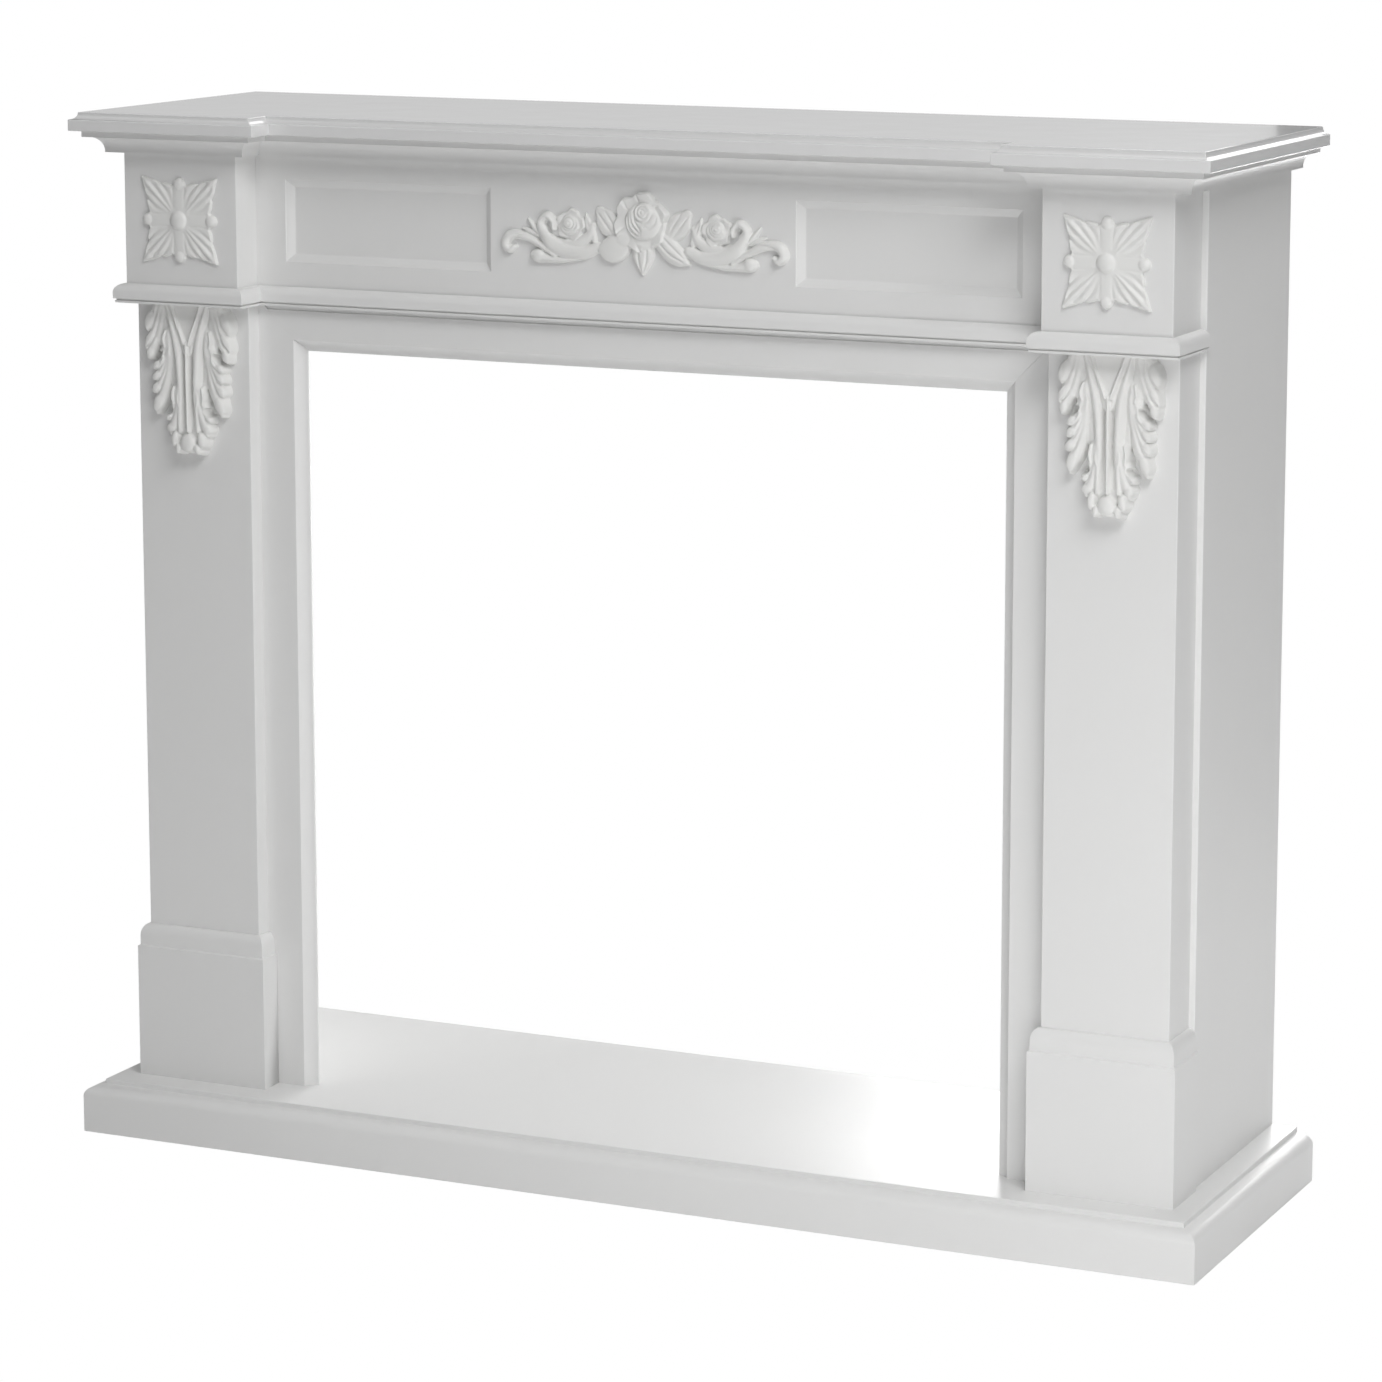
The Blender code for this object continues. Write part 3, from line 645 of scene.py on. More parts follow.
class Casting:
    """Height of a cast ornament over its board on an even grid, worked in millimetres"""

    def __init__(self, left, right, low, high):
        grain = cast_sizes().grain * 1000
        us = np.arange(left, right + grain, grain)
        vs = np.arange(low, high + grain, grain)
        self.u, self.v = np.meshgrid(us, vs, indexing="ij")
        self.h = np.full(self.u.shape, -6.0)
        self.slope = cast_sizes().side_slope

    def curve(self, points):
        """A smooth line through points that each hold u, v, half width and height"""
        p = np.array(points, float)
        p = np.vstack([2 * p[0] - p[1], p, 2 * p[-1] - p[-2]])
        t = np.linspace(0.0, 1.0, 12, endpoint=False)[:, None]
        rows = []
        for a, b, c, d in zip(p, p[1:], p[2:], p[3:]):
            rows.append(
                0.5 * (2 * b + (c - a) * t + (2 * a - 5 * b + 4 * c - d) * t**2
                       + (3 * b - a - 3 * c + d) * t**3)
            )
        rows.append(p[-2][None])
        return np.vstack(rows)

    def beside(self, line, reach):
        """Grid points near a line, with their place along it and signed distance from it"""
        near = (
            (self.u > line[:, 0].min() - reach) & (self.u < line[:, 0].max() + reach)
            & (self.v > line[:, 1].min() - reach) & (self.v < line[:, 1].max() + reach)
        )
        pu, pv = self.u[near], self.v[near]
        best = np.full(pu.shape, 1e9)
        place = np.zeros(pu.shape)
        side = np.ones(pu.shape)
        for i, (a, b) in enumerate(zip(line, line[1:])):
            du, dv = b[0] - a[0], b[1] - a[1]
            length = du * du + dv * dv + 1e-12
            ru, rv = pu - a[0], pv - a[1]
            t = np.clip((ru * du + rv * dv) / length, 0.0, 1.0)
            far = (ru - t * du) ** 2 + (rv - t * dv) ** 2
            closer = far < best
            best[closer] = far[closer]
            place[closer] = (i + t)[closer]
            side[closer] = np.where(ru * dv - rv * du > 0, 1.0, -1.0)[closer]
        return near, place, np.sqrt(best) * side

    def frond(self, points, crown=0.4, rib=0.0):
        """A leaf, finger or cord along a line, rounded across, with an optional rib"""
        line = self.curve(points)
        half_max = line[:, 2].max()
        near, place, away = self.beside(line, half_max + 6.0)
        steps = np.arange(len(line))
        half = np.maximum(np.interp(place, steps, line[:, 2]), 0.25)
        high = np.interp(place, steps, line[:, 3])
        off = np.abs(away)
        t = np.minimum(off / half, 1.0)
        height = high * (1 - crown * t**2.2)
        height += rib * np.exp(-((away / 0.9) ** 2)) * (t < 1)
        height -= np.maximum(off - half, 0.0) * self.slope
        self.h[near] = np.maximum(self.h[near], height)

    def groove(self, points):
        """A rounded cut along a line; each point holds u, v, half width and depth"""
        line = self.curve(points)
        near, place, away = self.beside(line, line[:, 2].max() * 3)
        steps = np.arange(len(line))
        half = np.maximum(np.interp(place, steps, line[:, 2]), 0.2)
        deep = np.interp(place, steps, line[:, 3])
        self.h[near] -= deep * np.exp(-((away / half) ** 2))

    def dome(self, u, v, ru, rv, base, rise, turn=0.0):
        """A rounded boss, bud or petal"""
        c, s = math.cos(math.radians(turn)), math.sin(math.radians(turn))
        a = ((self.u - u) * c + (self.v - v) * s) / ru
        b = ((self.v - v) * c - (self.u - u) * s) / rv
        r = np.sqrt(a * a + b * b)
        height = base + rise * np.sqrt(np.maximum(1 - r * r, 0.0))
        height -= np.maximum(r - 1, 0.0) * (ru + rv) / 2 * self.slope
        self.h = np.maximum(self.h, height)

    def plate(self, beyond, height):
        """A low plate, given how far each grid point lies beyond its outline"""
        self.h = np.maximum(self.h, height - np.maximum(beyond, 0.0) * self.slope)

    def ruffle(self, u, v, radius, waves, size, height, lift, turn=0.0):
        """The wavy outer petals of a rose, turned up at the rim"""
        far = np.hypot(self.u - u, self.v - v)
        around = np.arctan2(self.v - v, self.u - u) - turn
        rim = radius + size * np.cos(waves * around) + 0.5 * size * np.cos((2 * waves + 1) * around + 0.7)
        rise = lift * np.minimum(far / rim, 1.0) ** 3 * (0.55 + 0.45 * np.cos(waves * around))
        self.plate(far - rim, height + rise)

    def hollow(self, u, v, ru, rv, depth, turn=0.0):
        """A deep eye drilled between leaves"""
        c, s = math.cos(math.radians(turn)), math.sin(math.radians(turn))
        a = ((self.u - u) * c + (self.v - v) * s) / ru
        b = ((self.v - v) * c - (self.u - u) * s) / rv
        r = np.sqrt(a * a + b * b)
        self.h -= depth * np.clip(1.35 - r, 0.0, 0.7) / 0.7
        self.h = np.where(r < 1.35, np.maximum(self.h, 0.8), self.h)

    def mirror(self):
        """Fold the right half over onto the left"""
        self.h = np.maximum(self.h, self.h[::-1])

    def piece(self, name, x, face_y, z, side, node):
        """The cast body: a grid of points raised to their heights and cut off flat at the board"""
        h = self.h
        for _ in range(cast_sizes().soften):
            p = np.pad(h, 1, mode="edge")
            h = (
                4 * p[1:-1, 1:-1] + 2 * (p[:-2, 1:-1] + p[2:, 1:-1] + p[1:-1, :-2] + p[1:-1, 2:])
                + p[:-2, :-2] + p[2:, 2:] + p[:-2, 2:] + p[2:, :-2]
            ) / 16
        nu, nv = h.shape
        bm = bmesh.new()
        bmesh.ops.create_grid(bm, x_segments=nu - 1, y_segments=nv - 1, size=0.5)
        bm.verts.ensure_lookup_table()
        where = np.array([v.co[:2] for v in bm.verts])
        i = np.rint((where[:, 0] + 0.5) * (nu - 1)).astype(int)
        j = np.rint((where[:, 1] + 0.5) * (nv - 1)).astype(int)
        us = x + side * self.u[i, j] * 0.001
        vs = z + self.v[i, j] * 0.001
        hs = face_y - np.maximum(h[i, j], -1.2) * 0.001
        for v, a, b, c in zip(bm.verts, us, hs, vs):
            v.co = (a, b, c)
        bare = [f for f in bm.faces if min(v.co.y for v in f.verts) > face_y + 0.0008]
        bmesh.ops.delete(bm, geom=bare, context="FACES")
        geom = list(bm.verts) + list(bm.edges) + list(bm.faces)
        bmesh.ops.bisect_plane(
            bm, geom=geom, plane_co=(0, face_y + 0.0002, 0), plane_no=(0, 1, 0), clear_outer=True, dist=1e-7
        )
        rim = [e for e in bm.edges if e.is_boundary]
        low = bmesh.ops.extrude_edge_only(bm, edges=rim)["geom"]
        for v in low:
            if isinstance(v, bmesh.types.BMVert):
                v.co.y = face_y + 0.0004
        bmesh.ops.holes_fill(bm, edges=[e for e in bm.edges if e.is_boundary], sides=0)
        return finished(name, bm, cast_paint(), [node], smooth_angle=75.0)


def arc(u, v, radius, start, end, half, deep):
    """Points of a curved cut that fades out at both ends"""
    found = []
    for k in range(9):
        a = math.radians(start + (end - start) * k / 8)
        fade = math.sin(math.pi * (0.12 + 0.76 * k / 8))
        found.append((u + radius * math.cos(a), v + radius * math.sin(a), half, deep * fade))
    return found


def make_rosettes():
    form = Casting(-44, 44, -44, 44)
    wide = np.maximum(np.abs(form.u), np.abs(form.v))
    share = np.minimum(np.abs(form.u), np.abs(form.v)) / (wide + 0.001)
    # a square plate drawn out to leaf tips at the corners and notched between the lobes
    edge = 33.6 + 7.6 * share**2.4
    edge -= 1.7 * np.exp(-(((share - 0.60) / 0.05) ** 2)) + 1.5 * np.exp(-(((share - 0.25) / 0.05) ** 2))
    form.plate(wide - edge, 3.4 + 0.7 * np.exp(-((wide / 20) ** 2)))
    for turn in range(4):
        c, s = ((1, 0), (0, 1), (-1, 0), (0, -1))[turn]

        def at(p, q, half, high, c=c, s=s):
            return (p * c - q * s, p * s + q * c, half, high)

        rib = (9, 9, 2.0, 4.3), (22, 22, 3.0, 4.7), (33, 33, 2.8, 4.6), (39.5, 39.5, 1.2, 3.4)
        form.frond([at(*spot) for spot in rib], crown=0.3)
        leaf = (11, 8, 2.4, 4.0), (22, 15, 4.0, 4.2), (29, 20, 3.4, 4.3), (34, 24, 1.4, 3.6)
        veins = (
            ((12, 9.5, 1.8, 0.3), (24, 19.5, 2.1, 0.9), (35, 30, 1.8, 1.2)),
            ((13, 6.5, 1.7, 0.3), (24, 11, 2.0, 0.8), (34, 19.5, 1.4, 1.5)),
            ((12, 5.6, 1.0, 0.2), (22, 5.8, 1.1, 0.5), (30, 6.6, 1.0, 0.7)),
        )
        for flip in (False, True):
            def leaf_at(p, q, half, high, flip=flip, at=at):
                return at(q, p, half, high) if flip else at(p, q, half, high)

            form.frond([leaf_at(*spot) for spot in leaf], crown=0.25)
            for vein in veins:
                form.groove([leaf_at(*spot) for spot in vein])
        form.frond([at(8, 0, 5.0, 4.1), at(20, 0, 5.0, 3.9), at(31, 0, 4.6, 3.7)], crown=0.10)
        u, v = at(34.4, 0, 0, 0)[:2]
        form.dome(u, v, 5.9, 5.9, 1.8, 3.6)
    form.dome(0, 0, 8.7, 8.7, 3.8, 4.4)
    for word, side in (("left", -1), ("right", 1)):
        face_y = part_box("capital_block_" + word)[0].y
        low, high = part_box("rosette_" + word)
        form.piece(
            "rosette_cast_" + word, (low.x + high.x) / 2, face_y, (low.z + high.z) / 2,
            side, "rosette_" + word,
        )


def make_corbels():
    form = Casting(-52, 52, -146, 0)
    # flat ground between the two stems, and the broad body under the leaves
    form.frond([(0, 3, 18, 13.4), (0, -20, 12, 13.2), (0, -45, 5, 13.0)], crown=0.0)
    form.frond([(27, 3, 8, 10.5), (25, -24, 9, 10.5), (20, -50, 9, 10.0)], crown=0.1)
    form.frond([(14, -30, 11, 9.5), (12, -60, 11, 9.5), (9, -90, 9, 9.5), (6, -122, 9, 11)], crown=0.2)
    # three broad leaves a side, one below the other
    leaves = (
        [(27, 3, 8, 13), (33, -12, 9, 13), (37, -28, 8.5, 12.5), (41, -42, 6, 12), (43.5, -53, 2.4, 11.5)],
        [
            (17, -22, 5, 14), (22, -42, 7, 14), (27.5, -62, 8, 13), (29.5, -80, 8, 13),
            (33, -95, 5.6, 12), (36, -106, 1.8, 11),
        ],
        [
            (8, -74, 4, 15), (11.5, -90, 6, 14.5), (14.5, -105, 7, 14), (17, -116, 5.6, 13.5),
            (20, -125, 2.4, 12.5),
        ],
    )
    for blade in leaves:
        form.frond(blade, crown=0.25)
    # rounded lobes along the outer edges
    lobes = (
        (41.5, -17, 6.0, 10.5, 16), (41.0, -37, 6.4, 10.0, 18), (42.0, -48, 4.2, 6.5, 10),
        (34.2, -60.5, 5.6, 4.4, -38), (34.6, -70.5, 5.8, 4.8, -40), (34.8, -82, 6.2, 5.6, -44),
        (34.0, -96, 5.2, 8.6, 20),
        (21.0, -109.5, 4.8, 4.2, -38), (19.6, -119.5, 5.0, 4.8, -42),
    )
    for u, v, ru, rv, turn in lobes:
        form.dome(u, v, ru, rv, 11.0, 3.0, turn=turn)
    # soft flutes that run up from between the lobes
    flutes = (
        ((45.5, -30.5), (39, -22), (34, -10), (31, 2)),
        ((44.5, -43), (38, -35), (33, -22), (29, -6)),
        ((38.5, -66), (31, -61), (25, -48), (21, -32)),
        ((39, -77), (31, -71), (25, -57), (21, -40)),
        ((39, -90), (31.5, -83), (25.5, -68), (21, -50)),
        ((24.5, -115), (18, -109), (14, -96), (11, -82)),
    )
    widths = (1.2, 1.5, 1.5, 1.2)
    depths = (3.4, 1.9, 1.3, 0.4)
    for line in flutes:
        form.groove([(u, v, half, deep) for (u, v), half, deep in zip(line, widths, depths)])
    # small curls that close the leaves on the inside
    form.frond([(24, -26, 2.2, 14), (26, -34, 3.0, 15), (24.5, -41, 2.0, 14.5)], crown=0.5)
    form.frond(
        [(30, -46, 2.4, 13), (27, -52, 3.0, 14), (30, -58, 2.4, 13.5), (35, -61, 1.8, 12.5)], crown=0.5
    )
    form.frond([(15.5, -80, 2.4, 14.5), (17.0, -88, 3.2, 15), (16.0, -96, 2.0, 14.5)], crown=0.5)
    form.frond([(10.5, -84, 2.2, 15), (11.0, -92, 2.8, 15.5), (9.5, -99, 1.8, 15)], crown=0.5)
    # curled foot
    form.dome(14.5, -130, 4.0, 7.4, 13.5, 3.2, turn=6)
    form.dome(10.2, -138.5, 3.4, 5.4, 14.0, 3.2, turn=12)
    # stems that fall from the top corners to the middle, and the smooth bands beside them
    stem = [
        (21, 3, 4.6, 15), (16, -20, 5.0, 15.5), (11.0, -46, 5.4, 15.5), (8.5, -82, 4.2, 15),
        (9.5, -104, 3.6, 14.5), (10, -122, 3, 14),
    ]
    form.frond(stem, crown=0.3)
    band = [(17.0, 2, 3.0, 16), (12, -13, 3.0, 16.5), (6.4, -27, 3.0, 16.5), (2.4, -38, 2.6, 16.5)]
    form.frond(band, crown=0.45)
    form.groove([
        (21.0, 1, 1.2, 1.6), (15.6, -14, 1.2, 2.0), (9.8, -28, 1.1, 2.2), (5.4, -42, 1.1, 2.2),
        (4.4, -80, 1.1, 2.2), (4.4, -118, 1.1, 1.2),
    ])
    form.groove([(25.0, 1, 1.2, 1.2), (21.0, -18, 1.4, 1.8), (15.8, -46, 2.0, 2.0), (13.8, -74, 1.8, 1.4)])
    form.mirror()
    form.frond([(0, -37, 2.6, 16.5), (0, -70, 2.8, 16.5), (0, -100, 2.6, 16), (0, -122, 2.2, 16)], crown=0.45)
    form.dome(0, -133.5, 8.6, 9.0, 13.5, 5.0)
    # shadowed eyes between the leaves
    for hand in (-1, 1):
        form.hollow(hand * 33.5, -51.0, 5.4, 2.4, 16, turn=-hand * 38)
        form.hollow(hand * 21.5, -103.0, 4.0, 2.4, 16, turn=-hand * 40)
    for word, side in (("left", -1), ("right", 1)):
        shaft_low, shaft_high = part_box("pilaster_shaft_" + word)
        middle = (shaft_low.x + shaft_high.x) / 2
        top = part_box("corbel_" + word)[1].z
        form.piece("corbel_cast_" + word, middle, shaft_low.y, top, side, "corbel_" + word)


def make_swag():
    form = Casting(-152, 152, -54, 34)
    # scrolls, small roses and leaves on each side
    form.frond([(27, -13, 6.0, 4.0), (33, -6, 10.0, 4.4), (39, 2, 10.0, 4.4), (44, 8, 5.0, 3.8)], crown=0.3)
    form.groove([(27, -10, 0.9, 0.6), (32, -1, 1.1, 1.6), (38, 8, 0.9, 1.2)])
    form.groove([(31, -12, 0.9, 0.6), (38, -3, 1.1, 1.6), (45, 6, 0.9, 1.2)])
    form.frond([(50, -18, 3, 4.2), (54, -8, 4.4, 4.6), (57.5, 1, 2.2, 4.2), (58.5, 6, 0.8, 3.0)], crown=0.4)
    form.groove([(51, -16, 0.8, 0.8), (54.5, -7, 0.9, 1.4), (57.5, 2, 0.7, 1.0)])
    scroll = [
        (46, -25, 4.6, 6), (60, -30, 6.2, 7), (76, -29, 7.6, 7.5), (92, -23, 7.6, 8), (101, -12, 5.4, 8),
        (104.5, -3.5, 3.6, 8.5), (98, 2.6, 3.2, 9), (91.5, -2.5, 3.0, 9), (91, -9, 1.8, 8),
    ]
    form.frond(scroll, crown=0.45)
    form.groove([(58, -24, 0.9, 0.8), (76, -22.5, 1.0, 1.6), (90, -16, 1.0, 1.8), (95.5, -7, 0.9, 1.2)])
    form.frond([(51, -4, 2.6, 4.6), (55, -14, 4.4, 5.0), (66, -21, 4.6, 5.4), (80, -22, 3.0, 5.0)], crown=0.4)
    form.ruffle(74, -5, 13.6, 5, 1.0, 3.4, 2.2, turn=0.5)
    form.dome(74.5, -5.5, 9.6, 9.2, 4.4, 3.0)
    form.dome(75, -3.6, 4.6, 4.2, 7.0, 2.2)
    for radius, start, end in ((2.0, 0, 300), (4.8, 60, 330), (7.4, 110, 330), (7.8, -20, 70)):
        form.groove(arc(75, -3.6, radius, start, end, 0.75, 1.7))
    form.groove([(66, -10, 0.8, 1.2), (72, -14, 0.9, 1.6), (80, -13.5, 0.8, 1.2)])
    stalk = [
        (66, -37, 1.2, 5.0), (82, -38, 2.4, 6.0), (96, -37.5, 3.2, 6.5), (106, -35.5, 5.6, 7.0),
        (111, -34.5, 4.6, 7.0),
    ]
    form.frond(stalk, crown=0.5)
    form.dome(107.5, -35, 6.8, 6.0, 3.6, 4.4)
    end_scroll = [
        (90, -34, 2.2, 5.5), (105, -25, 3.0, 6), (118, -18.5, 3.6, 6.5), (130, -16, 4.2, 7),
        (138, -18.5, 4.8, 7.5), (141, -25.5, 4.8, 8), (136.5, -30, 3.6, 8), (132, -27.5, 2.2, 7.5),
    ]
    form.frond(end_scroll, crown=0.5)
    form.groove([
        (104, -21.5, 0.8, 0.8), (118, -16.5, 0.9, 1.6), (129, -17.5, 0.9, 1.8), (134, -22.5, 0.9, 2.0),
    ])
    form.frond([(106, -15, 1.4, 4.4), (112, -8, 2.6, 5.0), (118, -0.5, 0.7, 4.0)], crown=0.5, rib=0.4)
    form.frond([(108, -16, 1.4, 4.2), (117, -12, 2.4, 4.6), (124, -9.5, 0.7, 3.6)], crown=0.5)
    form.mirror()
    # leaves below the rose
    leaf = [(0.5, -20, 9, 6.5), (0.3, -30, 10.5, 6.8), (0, -39, 7.0, 6.2), (-0.2, -48, 0.8, 4.5)]
    form.frond(leaf, crown=0.35)
    form.groove([(-4.5, -26, 0.9, 1.8), (-3.6, -36, 0.9, 2.2), (-1, -46, 0.6, 1.2)])
    form.groove([(4.8, -26, 0.9, 1.8), (3.8, -36, 0.9, 2.0), (0.6, -46, 0.6, 1.0)])
    form.frond([(14, -12, 6, 6), (25, -22, 9.0, 7.5), (36, -31, 8.0, 7.0), (46, -36.5, 1.6, 5)], crown=0.35)
    form.groove([(17, -18, 0.9, 1.6), (28, -28, 1.0, 2.2), (41, -35, 0.7, 1.4)])
    form.groove([(22, -14, 0.9, 1.4), (32, -23, 1.0, 2.2), (43, -32.5, 0.6, 1.2)])
    form.dome(-29, -25.5, 15.5, 12.0, 5.0, 3.2, turn=12)
    form.dome(-20, -17, 9, 9, 5.0, 3.0)
    # middle rose: ruffled outer petals, then a cup with spiral petals
    form.ruffle(-1.8, 0.4, 25.6, 6, 1.3, 6.0, 3.6, turn=0.35)
    for end, bend in ((-100, 8), (-58, -8), (-5, 8), (48, -6), (92, 8), (140, -8), (196, 8)):
        line = []
        for radius, deep in ((16, 0.6), (20, 1.5), (24, 1.9), (27, 1.6)):
            a = math.radians(end + bend * (radius - 15) / 10)
            line.append((-1.5 + radius * math.cos(a), radius * math.sin(a), 1.0, deep))
        form.groove(line)
    form.frond([(-9, -15, 4, 6.4), (0, -20.5, 5, 8.2), (9, -18, 4.4, 6.8)], crown=0.3)
    form.frond([(9, -16, 3.4, 6.0), (15, -17.5, 4.4, 7.2), (20, -12, 3, 6.0)], crown=0.3)
    form.dome(1.5, 0.6, 17.2, 16.4, 8.2, 3.6)
    form.dome(2.4, 9.0, 9.4, 8.4, 10.6, 2.2)
    form.groove(arc(2.4, 10.0, 2.2, -40, 280, 0.8, 1.8))
    form.groove(arc(2.4, 9.6, 5.4, 30, 350, 0.85, 2.2))
    form.groove(arc(2.2, 9.0, 9.2, 70, 350, 0.9, 2.4))
    # crescent petals that wrap round from the lower left
    for sweep in (0.0, 3.6, 7.2):
        form.groove([
            (-7.5 - sweep * 0.8, 9 - sweep * 0.4, 0.9, 1.0),
            (-6.0 - sweep * 0.8, 1.5 - sweep * 0.9, 1.0, 2.4),
            (-1.8 - sweep * 0.45, -4.5 - sweep * 0.95, 1.0, 2.4),
            (0.5 - sweep * 0.2, -8 - sweep * 0.6, 0.9, 1.0),
        ])
    form.groove([(4, -3.5, 0.8, 0.8), (9, -4.2, 0.9, 1.6), (14, -0.5, 0.9, 1.6), (16, 6, 0.8, 0.8)])
    size = cast_sizes()
    form.h = np.where(form.h > 0, form.h * size.swag_relief, form.h)
    frieze_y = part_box("frieze_board")[0].y
    form.piece("rose_swag_cast", size.swag_across, frieze_y, size.swag_up, 1, "rose_swag")


# Stage


def white_to_camera(tree, output, lit, paper):
    """Show the camera plain white, while all other rays meet the surface or the room light"""
    path = tree.nodes.new("ShaderNodeLightPath")
    seen = tree.nodes.new("ShaderNodeMixShader")
    tree.links.new(path.outputs["Is Camera Ray"], seen.inputs["Fac"])
    tree.links.new(lit, seen.inputs[1])
    tree.links.new(paper, seen.inputs[2])
    tree.links.new(seen.outputs["Shader"], tree.nodes[output].inputs["Surface"])


def make_floor():
    look = studio()
    bm = bmesh.new()
    bmesh.ops.create_grid(bm, x_segments=1, y_segments=1, size=14.0)
    bmesh.ops.translate(bm, verts=bm.verts, vec=(0, 0, -0.0005))
    mesh = bpy.data.meshes.new("studio_floor")
    bm.to_mesh(mesh)
    bm.free()
    floor = bpy.data.objects.new("studio_floor", mesh)
    bpy.context.scene.collection.objects.link(floor)
    mat = bpy.data.materials.new("pale_floor")
    mat.use_nodes = True
    shader = mat.node_tree.nodes["Principled BSDF"]
    shader.inputs["Base Color"].default_value = (*look.ground, 1.0)
    shader.inputs["Roughness"].default_value = 0.9
    tree = mat.node_tree
    glow = tree.nodes.new("ShaderNodeEmission")
    white_to_camera(tree, "Material Output", shader.outputs["BSDF"], glow.outputs["Emission"])
    mesh.materials.append(mat)


def make_world():
    look = studio()
    world = bpy.data.worlds.new("studio_world")
    bpy.context.scene.world = world
    world.use_nodes = True
    tree = world.node_tree
    back = tree.nodes["Background"]
    back.inputs["Color"].default_value = (1.0, 1.0, 1.0, 1.0)
    back.inputs["Strength"].default_value = look.room
    paper = tree.nodes.new("ShaderNodeBackground")
    paper.inputs["Color"].default_value = (1.0, 1.0, 1.0, 1.0)
    white_to_camera(tree, "World Output", back.outputs["Background"], paper.outputs["Background"])


def lamp(name, where, aim, wide, tall, power):
    """A rectangular lamp that faces a point"""
    data = bpy.data.lights.new(name, "AREA")
    data.shape = "RECTANGLE"
    data.size = wide
    data.size_y = tall
    data.energy = power
    obj = bpy.data.objects.new(name, data)
    obj.location = where
    obj.rotation_euler = (Vector(aim) - Vector(where)).to_track_quat("-Z", "Y").to_euler()
    bpy.context.scene.collection.objects.link(obj)


def make_lamps():
    look = studio()
    middle = Vector((0.0, 0.0, 0.5))
    # each soft box: degrees round from the front, degrees up, power, width and distance
    boxes = (
        ("key_right", 52, 45, look.key, 1.6, 4.0),
        ("key_front", 30, 45, look.front, 0.7, 4.0),
        ("fill_left", -60, 45, look.fill, 1.8, 4.0),
        ("overhead", 0, 88, look.top, 1.8, 4.0),
        ("rim_back", 180, 35, look.rim, 1.8, 4.0),
        ("rim_right", 130, 35, look.rim * 0.22, 1.8, 4.0),
    )
    for name, around, above, power, wide, away in boxes:
        a, b = math.radians(around), math.radians(above)
        where = Vector((math.sin(a) * math.cos(b), -math.cos(a) * math.cos(b), math.sin(b)))
        lamp(name, middle + away * where, middle, wide, wide, power)
    lamp("wall_bounce", (0.05, 1.6, 0.42), (0.05, 0.0, 0.0), 1.0, 0.6, look.bounce)
    lamp("white_card", (-1.6, 2.4, 1.2), (-1.6, 0.0, 1.2), 2.8, 1.2, look.card)
    lamp("floor_strip", (0.9, -1.25, 0.16), (0.45, -0.15, 0.05), 1.3, 0.3, look.strip)


def make_camera():
    """The camera of the photo, from a fit to the corners of the boards"""
    place = (1.842, -3.926, 1.311)
    az, el, roll = math.radians(24.22), math.radians(9.43), math.radians(0.09)
    behind = Vector((math.sin(az) * math.cos(el), -math.cos(az) * math.cos(el), math.sin(el)))
    right = Vector((math.cos(az), math.sin(az), 0.0))
    up = behind.cross(right)
    across = math.cos(roll) * right + math.sin(roll) * up
    upright = math.cos(roll) * up - math.sin(roll) * right
    turn = Matrix((across, upright, behind)).transposed()
    data = bpy.data.cameras.new("photo_camera")
    data.sensor_width = 36.0
    data.lens = studio().lens
    data.shift_x = -0.05
    data.shift_y = -0.10
    data.clip_end = 60.0
    camera = bpy.data.objects.new("photo_camera", data)
    camera.matrix_world = Matrix.Translation(place) @ turn.to_4x4()
    bpy.context.scene.collection.objects.link(camera)
    bpy.context.scene.camera = camera


def make_stage():
    view = bpy.context.scene.view_settings
    view.view_transform = "Standard"
    view.look = "None"
    make_floor()
    make_world()
    make_lamps()
    make_camera()


# Operators


class MANTEL_OT_plinth(bpy.types.Operator):
    """Make the moulded base and the hearth board let into it"""

    bl_idname = "mantel.plinth"
    bl_label = "Plinth and hearth"

    def execute(self, context):
        make_plinth()
        return {"FINISHED"}


class MANTEL_OT_legs(bpy.types.Operator):
    """Make the foot blocks, pilasters, capitals and side boards"""

    bl_idname = "mantel.legs"
    bl_label = "Legs and sides"

    def execute(self, context):
        make_legs()
        return {"FINISHED"}


class MANTEL_OT_frieze(bpy.types.Operator):
    """Make the frieze board with its two sunk panels"""

    bl_idname = "mantel.frieze"
    bl_label = "Frieze"

    def execute(self, context):
        make_frieze()
        return {"FINISHED"}


class MANTEL_OT_courses(bpy.types.Operator):
    """Make the middle moulding, the bed cove and the shelf"""

    bl_idname = "mantel.courses"
    bl_label = "Mouldings and shelf"

    def execute(self, context):
        make_courses()
        return {"FINISHED"}


class MANTEL_OT_opening_frame(bpy.types.Operator):
    """Make the hollowed frame round the fire opening"""

    bl_idname = "mantel.opening_frame"
    bl_label = "Opening frame"

    def execute(self, context):
        make_opening_frame()
        return {"FINISHED"}


class MANTEL_OT_rosettes(bpy.types.Operator):
    """Cast the two square rosettes"""

    bl_idname = "mantel.rosettes"
    bl_label = "Rosettes"

    def execute(self, context):
        make_rosettes()
        return {"FINISHED"}


class MANTEL_OT_corbels(bpy.types.Operator):
    """Cast the two acanthus corbels"""

    bl_idname = "mantel.corbels"
    bl_label = "Corbels"

    def execute(self, context):
        make_corbels()
        return {"FINISHED"}


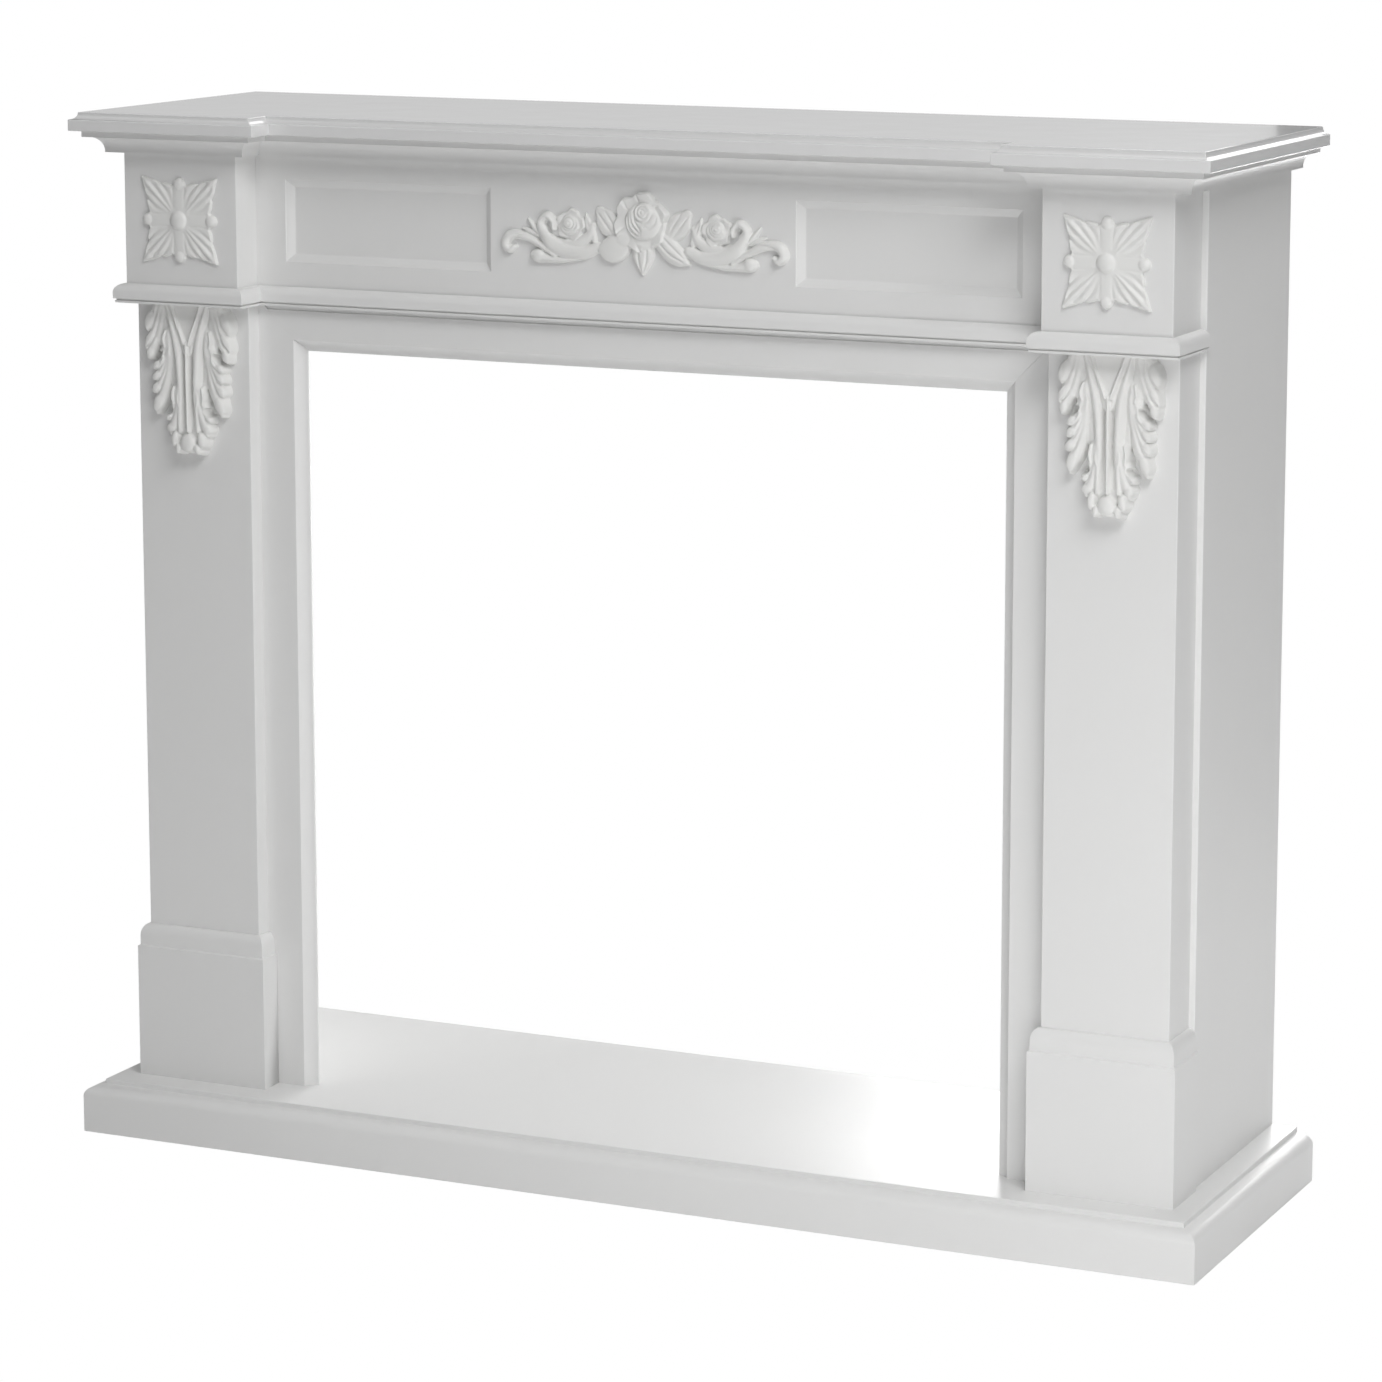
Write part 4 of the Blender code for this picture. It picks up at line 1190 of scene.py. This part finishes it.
class MANTEL_OT_swag(bpy.types.Operator):
    """Cast the rose swag of the frieze"""

    bl_idname = "mantel.swag"
    bl_label = "Rose swag"

    def execute(self, context):
        make_swag()
        return {"FINISHED"}


class MANTEL_OT_stage(bpy.types.Operator):
    """Set the floor, the lights and the camera"""

    bl_idname = "mantel.stage"
    bl_label = "Studio"

    def execute(self, context):
        make_stage()
        return {"FINISHED"}


OPERATORS = (
    MANTEL_OT_plinth,
    MANTEL_OT_legs,
    MANTEL_OT_frieze,
    MANTEL_OT_courses,
    MANTEL_OT_opening_frame,
    MANTEL_OT_rosettes,
    MANTEL_OT_corbels,
    MANTEL_OT_swag,
    MANTEL_OT_stage,
)


class MANTEL_PT_panel(bpy.types.Panel):
    """Buttons for every piece of the mantelpiece"""

    bl_idname = "MANTEL_PT_panel"
    bl_label = "Mantelpiece"
    bl_space_type = "VIEW_3D"
    bl_region_type = "UI"
    bl_category = "Mantelpiece"

    def draw(self, context):
        for operator in OPERATORS:
            self.layout.operator(operator.bl_idname)


CLASSES = (MouldingSizes, OrnamentSizes, PaintLooks, StudioLooks, *OPERATORS, MANTEL_PT_panel)


def register():
    for item in CLASSES:
        bpy.utils.register_class(item)
    bpy.types.Scene.mantel_mouldings = PointerProperty(type=MouldingSizes)
    bpy.types.Scene.mantel_ornaments = PointerProperty(type=OrnamentSizes)
    bpy.types.Scene.mantel_paints = PointerProperty(type=PaintLooks)
    bpy.types.Scene.mantel_studio = PointerProperty(type=StudioLooks)


def unregister():
    del bpy.types.Scene.mantel_studio
    del bpy.types.Scene.mantel_paints
    del bpy.types.Scene.mantel_ornaments
    del bpy.types.Scene.mantel_mouldings
    for item in reversed(CLASSES):
        bpy.utils.unregister_class(item)


def main():
    register()
    bpy.ops.mantel.plinth()
    bpy.ops.mantel.legs()
    bpy.ops.mantel.frieze()
    bpy.ops.mantel.courses()
    bpy.ops.mantel.opening_frame()
    bpy.ops.mantel.rosettes()
    bpy.ops.mantel.corbels()
    bpy.ops.mantel.swag()
    bpy.ops.mantel.stage()


if __name__ == "__main__":
    main()
